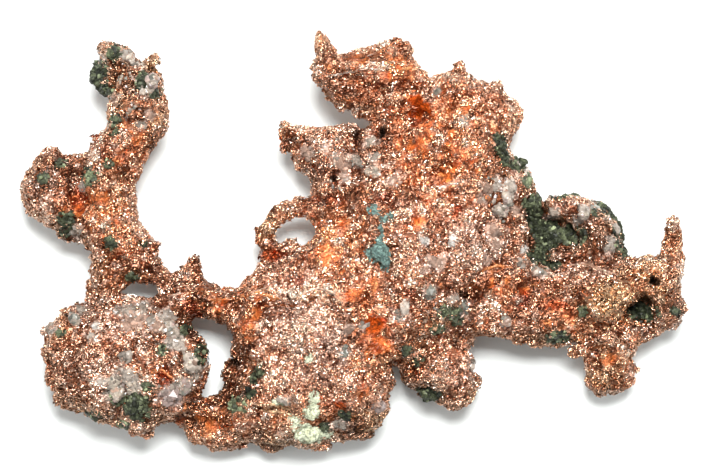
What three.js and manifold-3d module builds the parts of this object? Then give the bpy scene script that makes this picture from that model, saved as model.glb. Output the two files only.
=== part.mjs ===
// A native copper nugget: one crusty, branching mass of metal, with grains of quartz and
// lumps of green chlorite that were caught in it as it grew.
//
// The copper lies flat, long side along X, and +Z is up. It is drawn as limbs. Each limb has an
// outline seen from above, which swells like a blown-up cushion about its own middle height, so
// that a thin spur comes out round and a broad mass comes out domed. Strands are round limbs that
// follow a line. All of them run together into one surface, which is traced on a lattice of
// cubes, thinned to a fixed number of triangles, and cut flat where the nugget touches down.
// The mineral grains are faceted pebbles, each in a seat cut for it.
// Millimetres, origin on the resting plane under the middle of the nugget.

import * as THREE from "three";
import { mergeVertices } from "three/addons/utils/BufferGeometryUtils.js";
import Module from "manifold-3d";

const wasm = await Module();
wasm.setup();

// ---- Driving dimensions -----------------------------------------------------------------------

const CELL = 1.3; // lattice step of the traced surface
const MAP_STEP = 0.5; // step of the grid that each outline swells on
const COPPER_TRIANGLES = 5800; // what the copper is thinned to
const SOFTNESS = 1.0; // how gently a limb rises from its edge: 1 is a round edge
const WELD = 1.2; // how far two limbs run together where they meet
const SEAT_GAP = 0.3; // clearance between a grain and its seat
const ROUGHNESS = [
  { size: 8.5, height: 3.2 }, // broad lobes
  { size: 4.2, height: 1.9 }, // knobs
];

// ---- The copper's limbs -----------------------------------------------------------------------
// outline: points seen from above. middle: height of the middle surface at the outline's centre.
// slope: how much that surface rises for each millimetre along X and Y. half: half the thickness.

const LIMBS = [
  {
    name: "boulder",
    middle: 8.8,
    half: 9.2,
    outline: [
      [-42.3, -10.1], [-40.2, -10.5], [-38.2, -10.6], [-36.5, -10.4], [-34.6, -10.3], [-32.6, -10.4],
      [-30.6, -11.4], [-29.0, -12.6], [-27.6, -14.0], [-26.4, -15.3], [-24.5, -17.2], [-23.5, -18.8],
      [-23.6, -20.2], [-23.8, -21.6], [-24.6, -22.7], [-25.3, -24.2], [-26.0, -26.8], [-27.0, -29.5],
      [-29.4, -30.4], [-32.0, -30.4], [-32.5, -31.6], [-33.7, -33.0], [-34.8, -33.9], [-36.8, -33.2],
      [-39.2, -31.2], [-42.5, -29.9], [-45.0, -28.2], [-48.2, -27.3], [-49.8, -26.1], [-51.1, -24.6],
      [-51.3, -22.4], [-51.9, -19.6], [-51.5, -17.2], [-51.5, -15.4], [-51.0, -14.4], [-49.8, -13.8],
      [-48.6, -12.0], [-46.8, -11.0], [-45.4, -10.6], [-43.8, -10.7],
    ],
  },
  {
    name: "west arm",
    middle: 9.5,
    slope: [0, 0.06],
    half: 6.2,
    outline: [
      [-43.0, 31.8], [-42.2, 33.0], [-40.8, 33.3], [-39.8, 32.7], [-39.2, 31.9], [-38.2, 32.2],
      [-37.4, 31.4], [-36.4, 29.8], [-35.2, 28.6], [-34.4, 29.3], [-33.0, 29.3], [-32.5, 28.3],
      [-32.8, 27.2], [-31.9, 26.0], [-31.3, 24.6], [-31.6, 23.6], [-30.8, 22.4], [-31.4, 21.2],
      [-31.4, 20.0], [-30.8, 18.0], [-31.4, 17.2], [-32.7, 16.5], [-33.4, 14.8], [-34.2, 12.8],
      [-35.6, 10.7], [-37.0, 9.6], [-37.1, 7.5], [-36.3, 5.2], [-36.3, 2.8], [-35.2, 1.3],
      [-34.2, 1.0], [-33.6, 0.0], [-33.6, -0.9], [-32.6, -1.4], [-32.5, -3.5], [-32.4, -7.0],
      [-33.5, -7.5], [-35.0, -7.3], [-36.6, -7.0], [-38.2, -7.7], [-38.9, -9.1], [-39.8, -10.2],
      [-41.0, -10.4], [-42.2, -9.9], [-43.2, -9.3], [-44.7, -9.4], [-44.3, -7.5], [-44.3, -5.2],
      [-44.0, -3.8], [-43.0, -2.8], [-44.4, -1.5], [-46.4, 0.2], [-46.6, 3.0], [-45.8, 6.5],
      [-46.0, 10.0], [-45.4, 13.9], [-44.6, 14.3], [-43.5, 15.2], [-42.7, 15.6], [-43.7, 16.3],
      [-43.5, 17.3], [-42.0, 17.8], [-40.9, 17.6], [-40.5, 18.6], [-41.0, 20.5], [-40.2, 21.2],
      [-39.9, 22.8], [-40.9, 23.7], [-42.2, 24.3], [-43.3, 25.6], [-42.9, 27.5], [-42.5, 29.6],
    ],
  },
  {
    name: "west knob",
    middle: 7.6,
    half: 7.2,
    outline: [
      [-55.1, 5.4], [-55.2, 7.0], [-55.9, 8.4], [-55.5, 9.7], [-54.6, 10.2], [-54.2, 11.4],
      [-53.2, 12.8], [-52.4, 14.1], [-50.6, 14.9], [-49.2, 14.4], [-47.8, 14.0], [-46.9, 13.3],
      [-46.3, 14.0], [-45.0, 13.6], [-44.4, 11.0], [-44.6, 6.0], [-45.0, 2.2], [-46.6, 0.2],
      [-48.2, 0.9], [-50.2, 2.0], [-52.2, 3.0], [-54.0, 3.3], [-54.8, 4.2],
    ],
  },
  {
    name: "bridge",
    middle: 8.0,
    slope: [0.08, 0],
    half: 5.4,
    outline: [
      [-35.0, 0.6], [-33.2, -1.5], [-32.5, -4.2], [-31.0, -5.7], [-29.3, -6.4], [-28.0, -6.0],
      [-25.4, -6.6], [-24.5, -7.8], [-23.0, -8.2], [-21.0, -8.3], [-20.1, -8.9], [-18.6, -8.0],
      [-16.5, -6.6], [-13.5, -9.0], [-14.5, -15.0], [-18.5, -17.0], [-19.9, -17.0], [-20.3, -15.6],
      [-21.6, -14.5], [-23.6, -13.7], [-25.8, -13.3], [-27.4, -13.2], [-29.5, -14.6], [-31.8, -12.6],
      [-32.4, -10.4], [-32.1, -8.6], [-32.8, -7.6], [-34.5, -7.6], [-36.5, -7.2], [-37.5, -5.0],
    ],
  },
  {
    name: "south strip",
    middle: 6.0,
    half: 6.6,
    outline: [
      [-33.0, -27.0], [-30.0, -26.2], [-27.5, -26.6], [-25.6, -27.0], [-24.0, -27.5], [-22.8, -27.0],
      [-22.4, -25.7], [-21.0, -25.3], [-18.0, -24.5], [-14.0, -26.0], [-12.0, -30.0], [-12.5, -33.3],
      [-14.4, -33.6], [-17.5, -33.9], [-19.4, -34.0], [-20.6, -34.9], [-22.2, -35.2], [-23.8, -35.1],
      [-25.4, -34.3], [-27.1, -33.0], [-28.2, -32.4], [-28.2, -31.6], [-29.4, -30.5], [-31.2, -30.2],
      [-33.5, -30.0],
    ],
  },
  {
    name: "trunk",
    middle: 10.2,
    slope: [0.04, 0.05],
    half: 10.4,
    outline: [
      [-20.1, -8.9], [-18.6, -8.0], [-17.0, -7.0], [-15.9, -5.8], [-14.5, -4.0], [-12.0, -2.6],
      [-10.6, -0.6], [-10.0, -1.9], [-9.0, -2.2], [-7.3, -1.4], [-6.2, 0.6], [-6.2, 2.2],
      [-7.0, 4.0], [-5.6, 6.6], [-2.0, 13.0], [10.0, 14.0], [20.0, 8.0], [24.0, 0.0],
      [20.0, -10.0], [15.0, -17.0], [9.0, -21.0], [7.0, -22.8], [6.4, -24.2], [5.4, -26.0],
      [4.9, -27.2], [5.3, -28.4], [4.4, -30.4], [3.0, -31.8], [0.8, -33.0], [-0.2, -33.3],
      [-2.4, -33.0], [-4.2, -33.2], [-5.0, -34.2], [-6.4, -34.9], [-8.6, -34.6], [-10.4, -34.0],
      [-11.4, -33.7], [-12.6, -34.8], [-13.6, -35.1], [-14.5, -34.3], [-14.4, -33.4], [-16.0, -31.0],
      [-18.5, -28.0], [-21.0, -25.3], [-21.6, -24.2], [-21.5, -23.3], [-22.1, -21.6], [-21.4, -20.7],
      [-20.0, -19.9], [-20.1, -18.6], [-19.7, -17.2], [-19.6, -15.8], [-21.0, -13.0],
    ],
  },
  {
    name: "west prong",
    middle: 9.8,
    slope: [0.12, 0],
    half: 6,
    outline: [
      [-6.5, 7.4], [-6.6, 8.7], [-7.7, 9.7], [-8.9, 11.2], [-10.6, 12.3], [-10.0, 13.6],
      [-11.4, 14.4], [-13.0, 15.0], [-13.0, 16.0], [-12.7, 17.4], [-12.9, 18.7], [-12.3, 19.5],
      [-11.2, 19.6], [-9.6, 19.2], [-8.6, 18.5], [-7.3, 18.4], [-5.4, 18.2], [-4.2, 18.4],
      [-3.4, 17.7], [-1.8, 18.6], [-0.4, 17.8], [1.6, 17.9], [2.6, 18.0], [3.4, 18.9],
      [7.5, 19.0], [11.0, 12.0], [6.0, 4.0], [-2.0, 2.0], [-5.5, 4.0],
    ],
  },
  {
    name: "north plate",
    middle: 12.2,
    slope: [0, 0.05],
    half: 5.2,
    outline: [
      [3.4, 19.6], [1.6, 19.4], [0.4, 19.3], [-0.6, 20.0], [-1.3, 21.9], [-3.4, 22.2],
      [-5.0, 22.5], [-5.0, 24.3], [-6.4, 25.6], [-6.9, 27.2], [-6.8, 29.0], [-6.3, 30.2],
      [-6.4, 31.4], [-6.1, 32.8], [-5.9, 34.2], [-5.3, 34.6], [-4.6, 34.0], [-4.4, 33.0],
      [-3.5, 33.0], [-3.3, 31.2], [-2.6, 30.1], [-0.9, 30.5], [0.4, 31.2], [1.3, 30.6],
      [2.4, 31.0], [2.7, 32.1], [3.6, 32.3], [4.8, 31.4], [5.9, 32.4], [7.0, 33.7],
      [8.6, 33.2], [10.2, 31.6], [9.9, 30.0], [10.4, 28.3], [11.3, 27.2], [12.2, 26.0],
      [14.0, 22.0], [13.0, 16.0], [7.0, 15.0],
    ],
  },
  {
    name: "east shoulder",
    middle: 8.8,
    slope: [0, 0.03],
    half: 9.2,
    outline: [
      [6.0, 23.0], [11.0, 25.6], [13.3, 25.8], [15.4, 27.3], [16.4, 27.9], [16.6, 28.9],
      [17.2, 29.3], [18.0, 28.8], [18.4, 28.1], [19.8, 27.6], [20.2, 26.3], [22.2, 25.2],
      [22.9, 25.5], [23.4, 26.2], [24.1, 25.9], [24.6, 24.4], [25.6, 24.0], [27.0, 23.2],
      [27.7, 21.6], [27.6, 20.0], [27.3, 18.7], [27.8, 17.9], [26.6, 16.9], [25.6, 16.0],
      [26.3, 14.4], [27.5, 13.0], [29.0, 12.2], [30.0, 10.8], [29.6, 9.6], [30.6, 8.4],
      [30.4, 6.0], [29.0, 5.0], [28.6, 0.0], [26.0, -4.0], [18.0, -4.0], [8.0, 2.0],
      [3.0, 9.0], [3.4, 16.0],
    ],
  },
  {
    name: "south band",
    middle: 8.2,
    half: 7.4,
    outline: [
      [14.0, 3.0], [22.0, 4.0], [27.6, 3.0], [30.6, 1.2], [31.2, -0.6], [29.4, -3.6],
      [31.6, -5.4], [36.0, -5.2], [40.0, -4.0], [44.0, -4.4], [45.0, -9.0], [41.0, -14.0],
      [38.2, -16.2], [37.2, -15.9], [36.5, -17.0], [34.3, -17.9], [31.3, -17.8], [30.3, -18.3],
      [29.7, -18.6], [28.9, -17.9], [27.6, -17.4], [26.4, -17.7], [25.2, -17.0], [24.2, -16.4],
      [22.4, -16.6], [20.4, -16.3], [19.6, -17.3], [18.5, -18.0], [12.0, -18.0], [8.0, -12.0],
      [10.0, -4.0],
    ],
  },
  {
    name: "arched lobe",
    middle: 9.6,
    half: 7.4,
    outline: [
      [30.8, 4.8], [31.2, 6.0], [31.9, 7.0], [33.8, 7.5], [35.6, 7.5], [38.2, 6.9],
      [39.8, 5.8], [41.0, 4.8], [42.0, 4.3], [42.4, 3.0], [43.7, 2.1], [44.3, 0.8],
      [43.9, -0.6], [44.2, -2.4], [45.4, -4.4], [44.0, -7.0], [39.0, -7.0], [37.4, -4.0],
      [38.0, 0.0], [37.2, 2.2], [35.4, 1.8], [33.0, 2.6], [31.0, 2.8],
    ],
  },
  {
    name: "pocket ledge",
    middle: 6.0,
    half: 3.6,
    outline: [
      [31.4, -3.0], [33.2, -1.6], [35.6, -0.9], [38.6, -0.2], [39.8, -2.6], [39.0, -6.0],
      [35.0, -7.0], [31.0, -6.2],
    ],
  },
  {
    name: "east dome",
    middle: 8.8,
    half: 8.8,
    outline: [
      [36.4, -6.4], [40.0, -4.2], [44.0, -4.8], [46.4, -8.0], [46.0, -12.0], [43.5, -14.6],
      [40.0, -14.6], [37.4, -12.8], [36.2, -9.4],
    ],
  },
  {
    name: "east end",
    middle: 7.6,
    half: 6.4,
    outline: [
      [43.0, -4.6], [46.0, -3.4], [47.0, -2.8], [48.4, -3.5], [49.6, -3.2], [50.4, -3.9],
      [52.0, -3.6], [54.6, -4.6], [53.7, -6.5], [54.2, -8.0], [54.5, -9.2], [54.2, -10.6],
      [55.2, -10.5], [55.7, -11.8], [55.6, -12.8], [54.8, -14.2], [53.0, -15.0], [51.2, -15.4],
      [50.4, -16.8], [48.4, -17.4], [45.5, -17.4], [42.0, -15.0], [42.0, -8.0],
    ],
  },
  {
    name: "south-east leg",
    middle: 6.4,
    half: 6.6,
    outline: [
      [38.0, -14.5], [37.8, -17.4], [36.8, -18.8], [35.8, -19.7], [37.4, -19.8], [38.6, -20.6],
      [38.7, -22.2], [38.1, -23.8], [38.6, -25.1], [39.6, -26.0], [40.2, -26.8], [41.6, -26.7],
      [42.6, -26.1], [43.6, -26.4], [44.4, -25.6], [45.4, -24.7], [47.0, -24.2], [48.0, -23.4],
      [48.0, -21.9], [46.9, -21.6], [45.6, -21.9], [45.5, -20.6], [46.8, -19.5], [47.4, -18.2],
      [48.0, -16.0], [46.0, -13.0], [41.0, -12.0],
    ],
  },
  {
    name: "south lobe",
    middle: 6.6,
    half: 7.4,
    outline: [
      [18.5, -17.0], [19.0, -19.2], [20.0, -21.0], [20.7, -22.8], [21.5, -24.4], [21.3, -25.8],
      [20.0, -27.0], [18.4, -27.8], [17.2, -28.6], [15.6, -28.9], [14.0, -27.8], [12.1, -26.9],
      [10.2, -25.8], [8.3, -24.8], [7.3, -24.0], [6.8, -21.5], [6.0, -18.0], [9.0, -13.0],
      [15.0, -12.0],
    ],
  },
];

// Round limbs: [x, y, z, radius] along a line.
const STRANDS = [
  {
    name: "loop round the eye",
    points: [
      [-14.2, -6.4, 9, 2.2], [-14.0, -3.6, 8.6, 1.8], [-14.3, -0.8, 8.4, 1.8], [-14.6, 0.6, 8.6, 1.7],
      [-12.4, 3.2, 9.0, 1.1], [-10.2, 5.1, 9.4, 1.4], [-6.4, 5.4, 9.8, 2.0],
    ],
  },
  { name: "loop's thorn", points: [[-12.5, 3.6, 9, 0.9], [-13.0, 5.0, 9.6, 0.6]] },
  { name: "eye's spur", points: [[-11.4, -2.6, 8.6, 1.2], [-10.8, -0.7, 9, 0.8]] },
  {
    name: "bridge's horn",
    points: [[-26.2, -8.0, 9, 2.2], [-26.1, -5.4, 10.5, 1.4], [-26.1, -4.0, 11.5, 1.3]],
  },
  {
    name: "east spike",
    points: [
      [50.8, -7.6, 8.6, 2.1], [52.6, -4.4, 9.4, 1.6], [52.9, -1.6, 10.2, 1.6], [52.8, 1.9, 11.2, 1.5],
    ],
  },
  { name: "arm's thorn", points: [[-34.2, -1.0, 10, 1.2], [-32.4, -1.2, 10.4, 0.7]] },
  { name: "north thorn", points: [[-5.2, 30.0, 14.4, 1.4], [-5.3, 33.6, 15.4, 0.9]] },
  { name: "east thorn", points: [[23.6, 22.6, 13, 1.4], [23.6, 25.3, 13.6, 0.9]] },
];

// Hollows in the surface: centre, and half-widths along X, Y and Z.
const HOLLOWS = [
  { name: "dark well", at: [10.3, 20.8, 20.5], half: [2.0, 2.8, 6.5] },
  { name: "north swale", at: [-0.8, 25.6, 19.5], half: [4.6, 2.0, 4.0], turn: -25 },
  { name: "east pocket", at: [47.6, -12.2, 15.0], half: [2.3, 2.0, 8.0] },
  { name: "trunk swale", at: [0.2, -9.6, 21.2], half: [3.4, 2.8, 2.4] },
  { name: "seam of the strip", at: [-20.0, -22.5, 17.0], half: [1.8, 4.0, 7.0], turn: 15 },
  { name: "notch under the lobe", at: [7.2, -22.6, 13.0], half: [1.2, 2.4, 8.0], turn: 35 },
];

// ---- The minerals -----------------------------------------------------------------------------
// Each lump: [x, y, half-width, half-length, turn in degrees]. It sits in the surface below it,
// sunk by a share of its height, unless z gives its middle height.

const QUARTZ = { color: 0xd9d3cf, roughness: 0.35 };
const CHLORITE = { color: 0x37493f, roughness: 0.75 };
const CHRYSOCOLLA = { color: 0x62807a, roughness: 0.6 };
const PALE_CRUST = { color: 0xd3dcb4, roughness: 0.8 };

const GRAINS = [
  { name: "quartz_boulder_north", look: QUARTZ, lumps: [[-30.3, -15.3, 1.5, 2.7, 35]] },
  { name: "quartz_boulder_east", look: QUARTZ, lumps: [[-26.9, -20.4, 1.9, 2.2, 30]] },
  { name: "quartz_boulder_south_east", look: QUARTZ, lumps: [[-27.8, -24.4, 1.3, 1.7, -50]] },
  { name: "quartz_boulder_centre", look: QUARTZ, lumps: [[-37.2, -19.3, 1.2, 1.7, -60]] },
  {
    name: "quartz_boulder_south",
    look: QUARTZ,
    lumps: [[-39.9, -23.6, 1.5, 2.2, -70], [-38.9, -25.4, 1.3, 1.8, 10]],
  },
  { name: "quartz_boulder_north_west", look: QUARTZ, lumps: [[-46.3, -13.3, 1.3, 1.5, 30]] },
  { name: "quartz_arm_tip", look: QUARTZ, lumps: [[-33.3, 25.7, 1.2, 1.6, 20]] },
  { name: "quartz_arm_edge", look: QUARTZ, lumps: [[-36.9, 29.2, 0.9, 1.6, 42]] },
  {
    name: "quartz_saddle",
    look: QUARTZ,
    lumps: [[25.1, 6.6, 1.1, 1.9, 15], [24.3, 4.6, 1.5, 1.5, 0]],
  },
  { name: "quartz_lobe_top", look: QUARTZ, lumps: [[37.7, 4.3, 1.2, 1.3, 0]] },
  { name: "quartz_pocket_edge", look: QUARTZ, lumps: [[29.9, -5.7, 1.0, 1.7, -80]] },
  { name: "quartz_round_pebble", look: QUARTZ, lumps: [[24.9, -13.8, 1.3, 1.3, 0]] },
  {
    name: "chlorite_pocket",
    look: CHLORITE,
    lumps: [
      [29.8, 5.6, 1.8, 3.0, 10, 6.6], [30.8, 1.0, 2.2, 4.0, 0, 5.4],
      [34.6, 0.2, 3.8, 4.0, 0, 5.4], [30.6, -3.6, 2.4, 2.2, 0, 6.4],
    ],
    depth: 4,
  },
  {
    name: "chlorite_rim",
    look: CHLORITE,
    lumps: [
      [41.2, 4.2, 2.0, 3.0, 55, 5.4], [42.9, 1.6, 2.0, 3.0, 25, 5.2],
      [43.9, -1.2, 1.8, 2.6, 15, 5.4],
    ],
    depth: 3.4,
  },
  {
    name: "chlorite_arm_tip",
    look: CHLORITE,
    lumps: [[-42.2, 27.0, 1.4, 2.8, 8, 9.2], [-41.6, 25.0, 1.7, 1.5, 0, 9.0]],
    depth: 3,
  },
  {
    name: "chlorite_boulder_south",
    look: CHLORITE,
    lumps: [[-35.9, -27.2, 1.6, 2.3, -40]],
  },
  { name: "chlorite_shoulder_inner", look: CHLORITE, lumps: [[24.0, 15.0, 1.1, 1.9, 20]] },
  { name: "chlorite_shoulder_outer", look: CHLORITE, lumps: [[27.0, 12.5, 1.0, 1.6, 60]] },
  { name: "chlorite_east_pocket", look: CHLORITE, lumps: [[48.4, -12.7, 1.5, 1.6, 0]] },
  { name: "chlorite_south_lobe", look: CHLORITE, lumps: [[12.4, -25.6, 1.3, 2.2, 65]] },
  {
    name: "chrysocolla_patch",
    look: CHRYSOCOLLA,
    lumps: [[4.2, -2.2, 1.7, 1.9, 0], [5.1, -3.6, 0.9, 1.7, 25]],
  },
  { name: "pale_crust_edge", look: PALE_CRUST, lumps: [[-7.4, -32.2, 1.6, 2.5, -80]] },
  { name: "pale_crust_inner", look: PALE_CRUST, lumps: [[-6.8, -28.2, 1.0, 2.0, -5]] },
];

// ---- Outlines that swell ----------------------------------------------------------------------

function isInside(outline, x, y) {
  let inside = false;
  for (let i = 0, j = outline.length - 1; i < outline.length; j = i++) {
    const [ax, ay] = outline[i];
    const [bx, by] = outline[j];
    const crosses = ay > y !== by > y;
    if (crosses && x < ax + ((y - ay) * (bx - ax)) / (by - ay)) inside = !inside;
  }
  return inside;
}

function distanceToOutline(outline, x, y) {
  let nearest = Infinity;
  for (let i = 0, j = outline.length - 1; i < outline.length; j = i++) {
    const [ax, ay] = outline[i];
    const [bx, by] = outline[j];
    const dx = bx - ax;
    const dy = by - ay;
    const share = ((x - ax) * dx + (y - ay) * dy) / (dx * dx + dy * dy);
    const along = THREE.MathUtils.clamp(share, 0, 1);
    nearest = Math.min(nearest, Math.hypot(x - ax - along * dx, y - ay - along * dy));
  }
  return nearest;
}

// A map of how far a limb swells over its outline: 1 where it is fattest, 0 at the outline, and
// falling below 0 outside. Inside it is the shape of a skin blown up over the outline, which
// rises within a reach set by the limb's thickness and levels off beyond it.
function swellMap(limb) {
  const margin = 6;
  const sweeps = 120;
  const overshoot = 1.7;
  const reach = (limb.half / Math.SQRT2) * SOFTNESS;
  const xs = limb.outline.map((point) => point[0]);
  const ys = limb.outline.map((point) => point[1]);
  const left = Math.min(...xs) - margin;
  const bottom = Math.min(...ys) - margin;
  const columns = Math.ceil((Math.max(...xs) + margin - left) / MAP_STEP) + 1;
  const rows = Math.ceil((Math.max(...ys) + margin - bottom) / MAP_STEP) + 1;
  const swell = new Float64Array(columns * rows);
  const free = [];
  for (let row = 0; row < rows; row++) {
    for (let column = 0; column < columns; column++) {
      const x = left + column * MAP_STEP;
      const y = bottom + row * MAP_STEP;
      const at = row * columns + column;
      if (isInside(limb.outline, x, y)) free.push(at);
      else swell[at] = -distanceToOutline(limb.outline, x, y) / reach;
    }
  }
  const stiffness = (MAP_STEP / reach) ** 2;
  for (let sweep = 0; sweep < sweeps; sweep++) {
    for (const at of free) {
      const around = swell[at - 1] + swell[at + 1] + swell[at - columns] + swell[at + columns];
      swell[at] += overshoot * ((around + stiffness) / (4 + stiffness) - swell[at]);
    }
  }
  const top = Math.max(...free.map((at) => swell[at]));
  for (const at of free) swell[at] /= top;
  const center = [
    (Math.min(...xs) + Math.max(...xs)) / 2,
    (Math.min(...ys) + Math.max(...ys)) / 2,
  ];
  return { limb, swell, left, bottom, columns, rows, reach, center };
}

function swellAt(map, x, y) {
  const u = (x - map.left) / MAP_STEP;
  const v = (y - map.bottom) / MAP_STEP;
  const i = Math.floor(u);
  const j = Math.floor(v);
  if (i < 0 || j < 0 || i >= map.columns - 1 || j >= map.rows - 1) return -Infinity;
  const at = j * map.columns + i;
  const low = THREE.MathUtils.lerp(map.swell[at], map.swell[at + 1], u - i);
  const high = THREE.MathUtils.lerp(
    map.swell[at + map.columns], map.swell[at + map.columns + 1], u - i,
  );
  return THREE.MathUtils.lerp(low, high, v - j);
}

// ---- The surface as a field: positive inside the copper, negative outside, about 1 per mm ------

const maps = LIMBS.map(swellMap);

function weld(a, b, width) {
  const overlap = Math.max(width - Math.abs(a - b), 0);
  return Math.max(a, b) + (overlap * overlap) / (4 * width);
}

function latticeValue(i, j, k) {
  let bits = Math.imul(i, 374761393) + Math.imul(j, 668265263) + Math.imul(k, 1274126177);
  bits = Math.imul(bits ^ (bits >>> 13), 1103515245);
  bits ^= bits >>> 16;
  return ((bits >>> 0) / 4294967295) * 2 - 1;
}

// Smooth noise between -1 and 1, made from a random value at each point of a unit lattice.
function noise(x, y, z) {
  const i = Math.floor(x);
  const j = Math.floor(y);
  const k = Math.floor(z);
  const ease = (t) => t * t * (3 - 2 * t);
  const u = ease(x - i);
  const v = ease(y - j);
  const w = ease(z - k);
  const edge = (b, c) =>
    THREE.MathUtils.lerp(latticeValue(i, j + b, k + c), latticeValue(i + 1, j + b, k + c), u);
  const low = THREE.MathUtils.lerp(edge(0, 0), edge(1, 0), v);
  const high = THREE.MathUtils.lerp(edge(0, 1), edge(1, 1), v);
  return THREE.MathUtils.lerp(low, high, w);
}

function strandField(strand, x, y, z) {
  let best = -Infinity;
  for (let n = 0; n + 1 < strand.points.length; n++) {
    const [ax, ay, az, startRadius] = strand.points[n];
    const [bx, by, bz, endRadius] = strand.points[n + 1];
    const dx = bx - ax;
    const dy = by - ay;
    const dz = bz - az;
    const along = (x - ax) * dx + (y - ay) * dy + (z - az) * dz;
    const share = THREE.MathUtils.clamp(along / (dx * dx + dy * dy + dz * dz), 0, 1);
    const away = Math.hypot(x - ax - share * dx, y - ay - share * dy, z - az - share * dz);
    best = Math.max(best, THREE.MathUtils.lerp(startRadius, endRadius, share) - away);
  }
  return best;
}

function hollowField(hollow, x, y, z) {
  const turn = THREE.MathUtils.degToRad(hollow.turn ?? 0);
  const dx = x - hollow.at[0];
  const dy = y - hollow.at[1];
  const u = (dx * Math.cos(turn) + dy * Math.sin(turn)) / hollow.half[0];
  const v = (dy * Math.cos(turn) - dx * Math.sin(turn)) / hollow.half[1];
  const w = (z - hollow.at[2]) / hollow.half[2];
  return (1 - Math.hypot(u, v, w)) * Math.min(...hollow.half);
}

function copperField(x, y, z) {
  let field = -Infinity;
  let depth = 0;
  for (const map of maps) {
    const swell = swellAt(map, x, y);
    if (swell === -Infinity) continue;
    const { middle, half, slope = [0, 0] } = map.limb;
    const rise = slope[0] * (x - map.center[0]) + slope[1] * (y - map.center[1]);
    const height = (z - middle - rise) / half;
    const limbField = ((swell - height * height) * half) / 2;
    field = field === -Infinity ? limbField : weld(field, limbField, WELD);
    depth = Math.max(depth, swell);
  }
  for (const strand of STRANDS) {
    const strandValue = strandField(strand, x, y, z);
    field = field === -Infinity ? strandValue : weld(field, strandValue, WELD);
  }
  for (const hollow of HOLLOWS) field = -weld(-field, hollowField(hollow, x, y, z), WELD);
  const share = THREE.MathUtils.smoothstep(depth, 0, 0.7);
  for (const { size, height } of ROUGHNESS) {
    const billow = Math.abs(noise(x / size, y / size, z / size + size)) - 0.3;
    field += share * height * billow;
  }
  return field;
}

// ---- Tracing the surface ----------------------------------------------------------------------

const BOUNDS = { min: [-58, -37, -4], max: [58, 37, 25] };

// Fills in every lattice square that has the copper at two opposite corners only, where two
// sheets of the surface would otherwise touch along a line.
function fillPinches(values, strides) {
  const filled = 0.05;
  let changed = true;
  while (changed) {
    changed = false;
    for (let at = 0; at + strides[2] + strides[1] < values.length; at++) {
      for (let axis = 0; axis < 3; axis++) {
        const u = strides[(axis + 1) % 3];
        const v = strides[(axis + 2) % 3];
        const inside = [at, at + u, at + u + v, at + v].map((corner) => values[corner] > 0);
        if (inside[0] !== inside[2] || inside[1] !== inside[3] || inside[0] === inside[1]) continue;
        const empty = inside[0] ? [at + u, at + v] : [at, at + u + v];
        values[values[empty[0]] > values[empty[1]] ? empty[0] : empty[1]] = filled;
        changed = true;
      }
    }
  }
}

// One vertex in each cube the surface passes through, at the mean of its crossings of the cube's
// edges, and a pair of triangles across each lattice edge that it crosses.
function traceSurface(field) {
  const counts = BOUNDS.min.map((low, axis) => Math.ceil((BOUNDS.max[axis] - low) / CELL) + 1);
  const strides = [1, counts[0], counts[0] * counts[1]];
  const values = new Float32Array(counts[0] * counts[1] * counts[2]);
  const place = (i, axis) => BOUNDS.min[axis] + i * CELL;
  for (let k = 0; k < counts[2]; k++) {
    for (let j = 0; j < counts[1]; j++) {
      for (let i = 0; i < counts[0]; i++) {
        const value = field(place(i, 0), place(j, 1), place(k, 2));
        values[i + j * strides[1] + k * strides[2]] = value === 0 ? 1e-6 : value;
      }
    }
  }
  fillPinches(values, strides);
  const corners = [];
  for (let n = 0; n < 8; n++) corners.push([n & 1, (n >> 1) & 1, (n >> 2) & 1]);
  const edges = [];
  corners.forEach((corner, n) => {
    for (let axis = 0; axis < 3; axis++) {
      if (!corner[axis]) edges.push([n, n + (1 << axis)]);
    }
  });
  const points = [];
  const vertexOf = new Map();
  const offset = (corner) =>
    corner[0] * strides[0] + corner[1] * strides[1] + corner[2] * strides[2];
  for (let k = 0; k + 1 < counts[2]; k++) {
    for (let j = 0; j + 1 < counts[1]; j++) {
      for (let i = 0; i + 1 < counts[0]; i++) {
        const at = i + j * strides[1] + k * strides[2];
        const sum = new THREE.Vector3();
        let crossings = 0;
        for (const [from, to] of edges) {
          const a = values[at + offset(corners[from])];
          const b = values[at + offset(corners[to])];
          if (a > 0 === b > 0) continue;
          const start = new THREE.Vector3(...corners[from]);
          sum.add(start.lerp(new THREE.Vector3(...corners[to]), a / (a - b)));
          crossings++;
        }
        if (!crossings) continue;
        sum.divideScalar(crossings).add(new THREE.Vector3(i, j, k)).multiplyScalar(CELL);
        vertexOf.set(at, points.length);
        points.push(sum.add(new THREE.Vector3(...BOUNDS.min)));
      }
    }
  }
  const faces = [];
  for (let k = 1; k + 1 < counts[2]; k++) {
    for (let j = 1; j + 1 < counts[1]; j++) {
      for (let i = 1; i + 1 < counts[0]; i++) {
        const at = i + j * strides[1] + k * strides[2];
        for (let axis = 0; axis < 3; axis++) {
          const a = values[at];
          const b = values[at + strides[axis]];
          if (a > 0 === b > 0) continue;
          const u = strides[(axis + 1) % 3];
          const v = strides[(axis + 2) % 3];
          const quad = [at - u - v, at - v, at, at - u].map((cell) => vertexOf.get(cell));
          if (b > 0) quad.reverse();
          const [p, q, r, s] = quad;
          if (points[p].distanceTo(points[r]) < points[q].distanceTo(points[s])) {
            faces.push([p, q, r], [p, r, s]);
          } else {
            faces.push([p, q, s], [q, r, s]);
          }
        }
      }
    }
  }
  return { points, faces };
}

// ---- Thinning the surface ---------------------------------------------------------------------

// The squared distance from a point to a set of planes, as the ten terms of a quadratic.
function addPlane(terms, normal, offset, weight) {
  const { x, y, z } = normal;
  const add = [
    x * x, x * y, x * z, x * offset, y * y, y * z, y * offset, z * z, z * offset, offset * offset,
  ];
  add.forEach((term, n) => {
    terms[n] += weight * term;
  });
}

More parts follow.
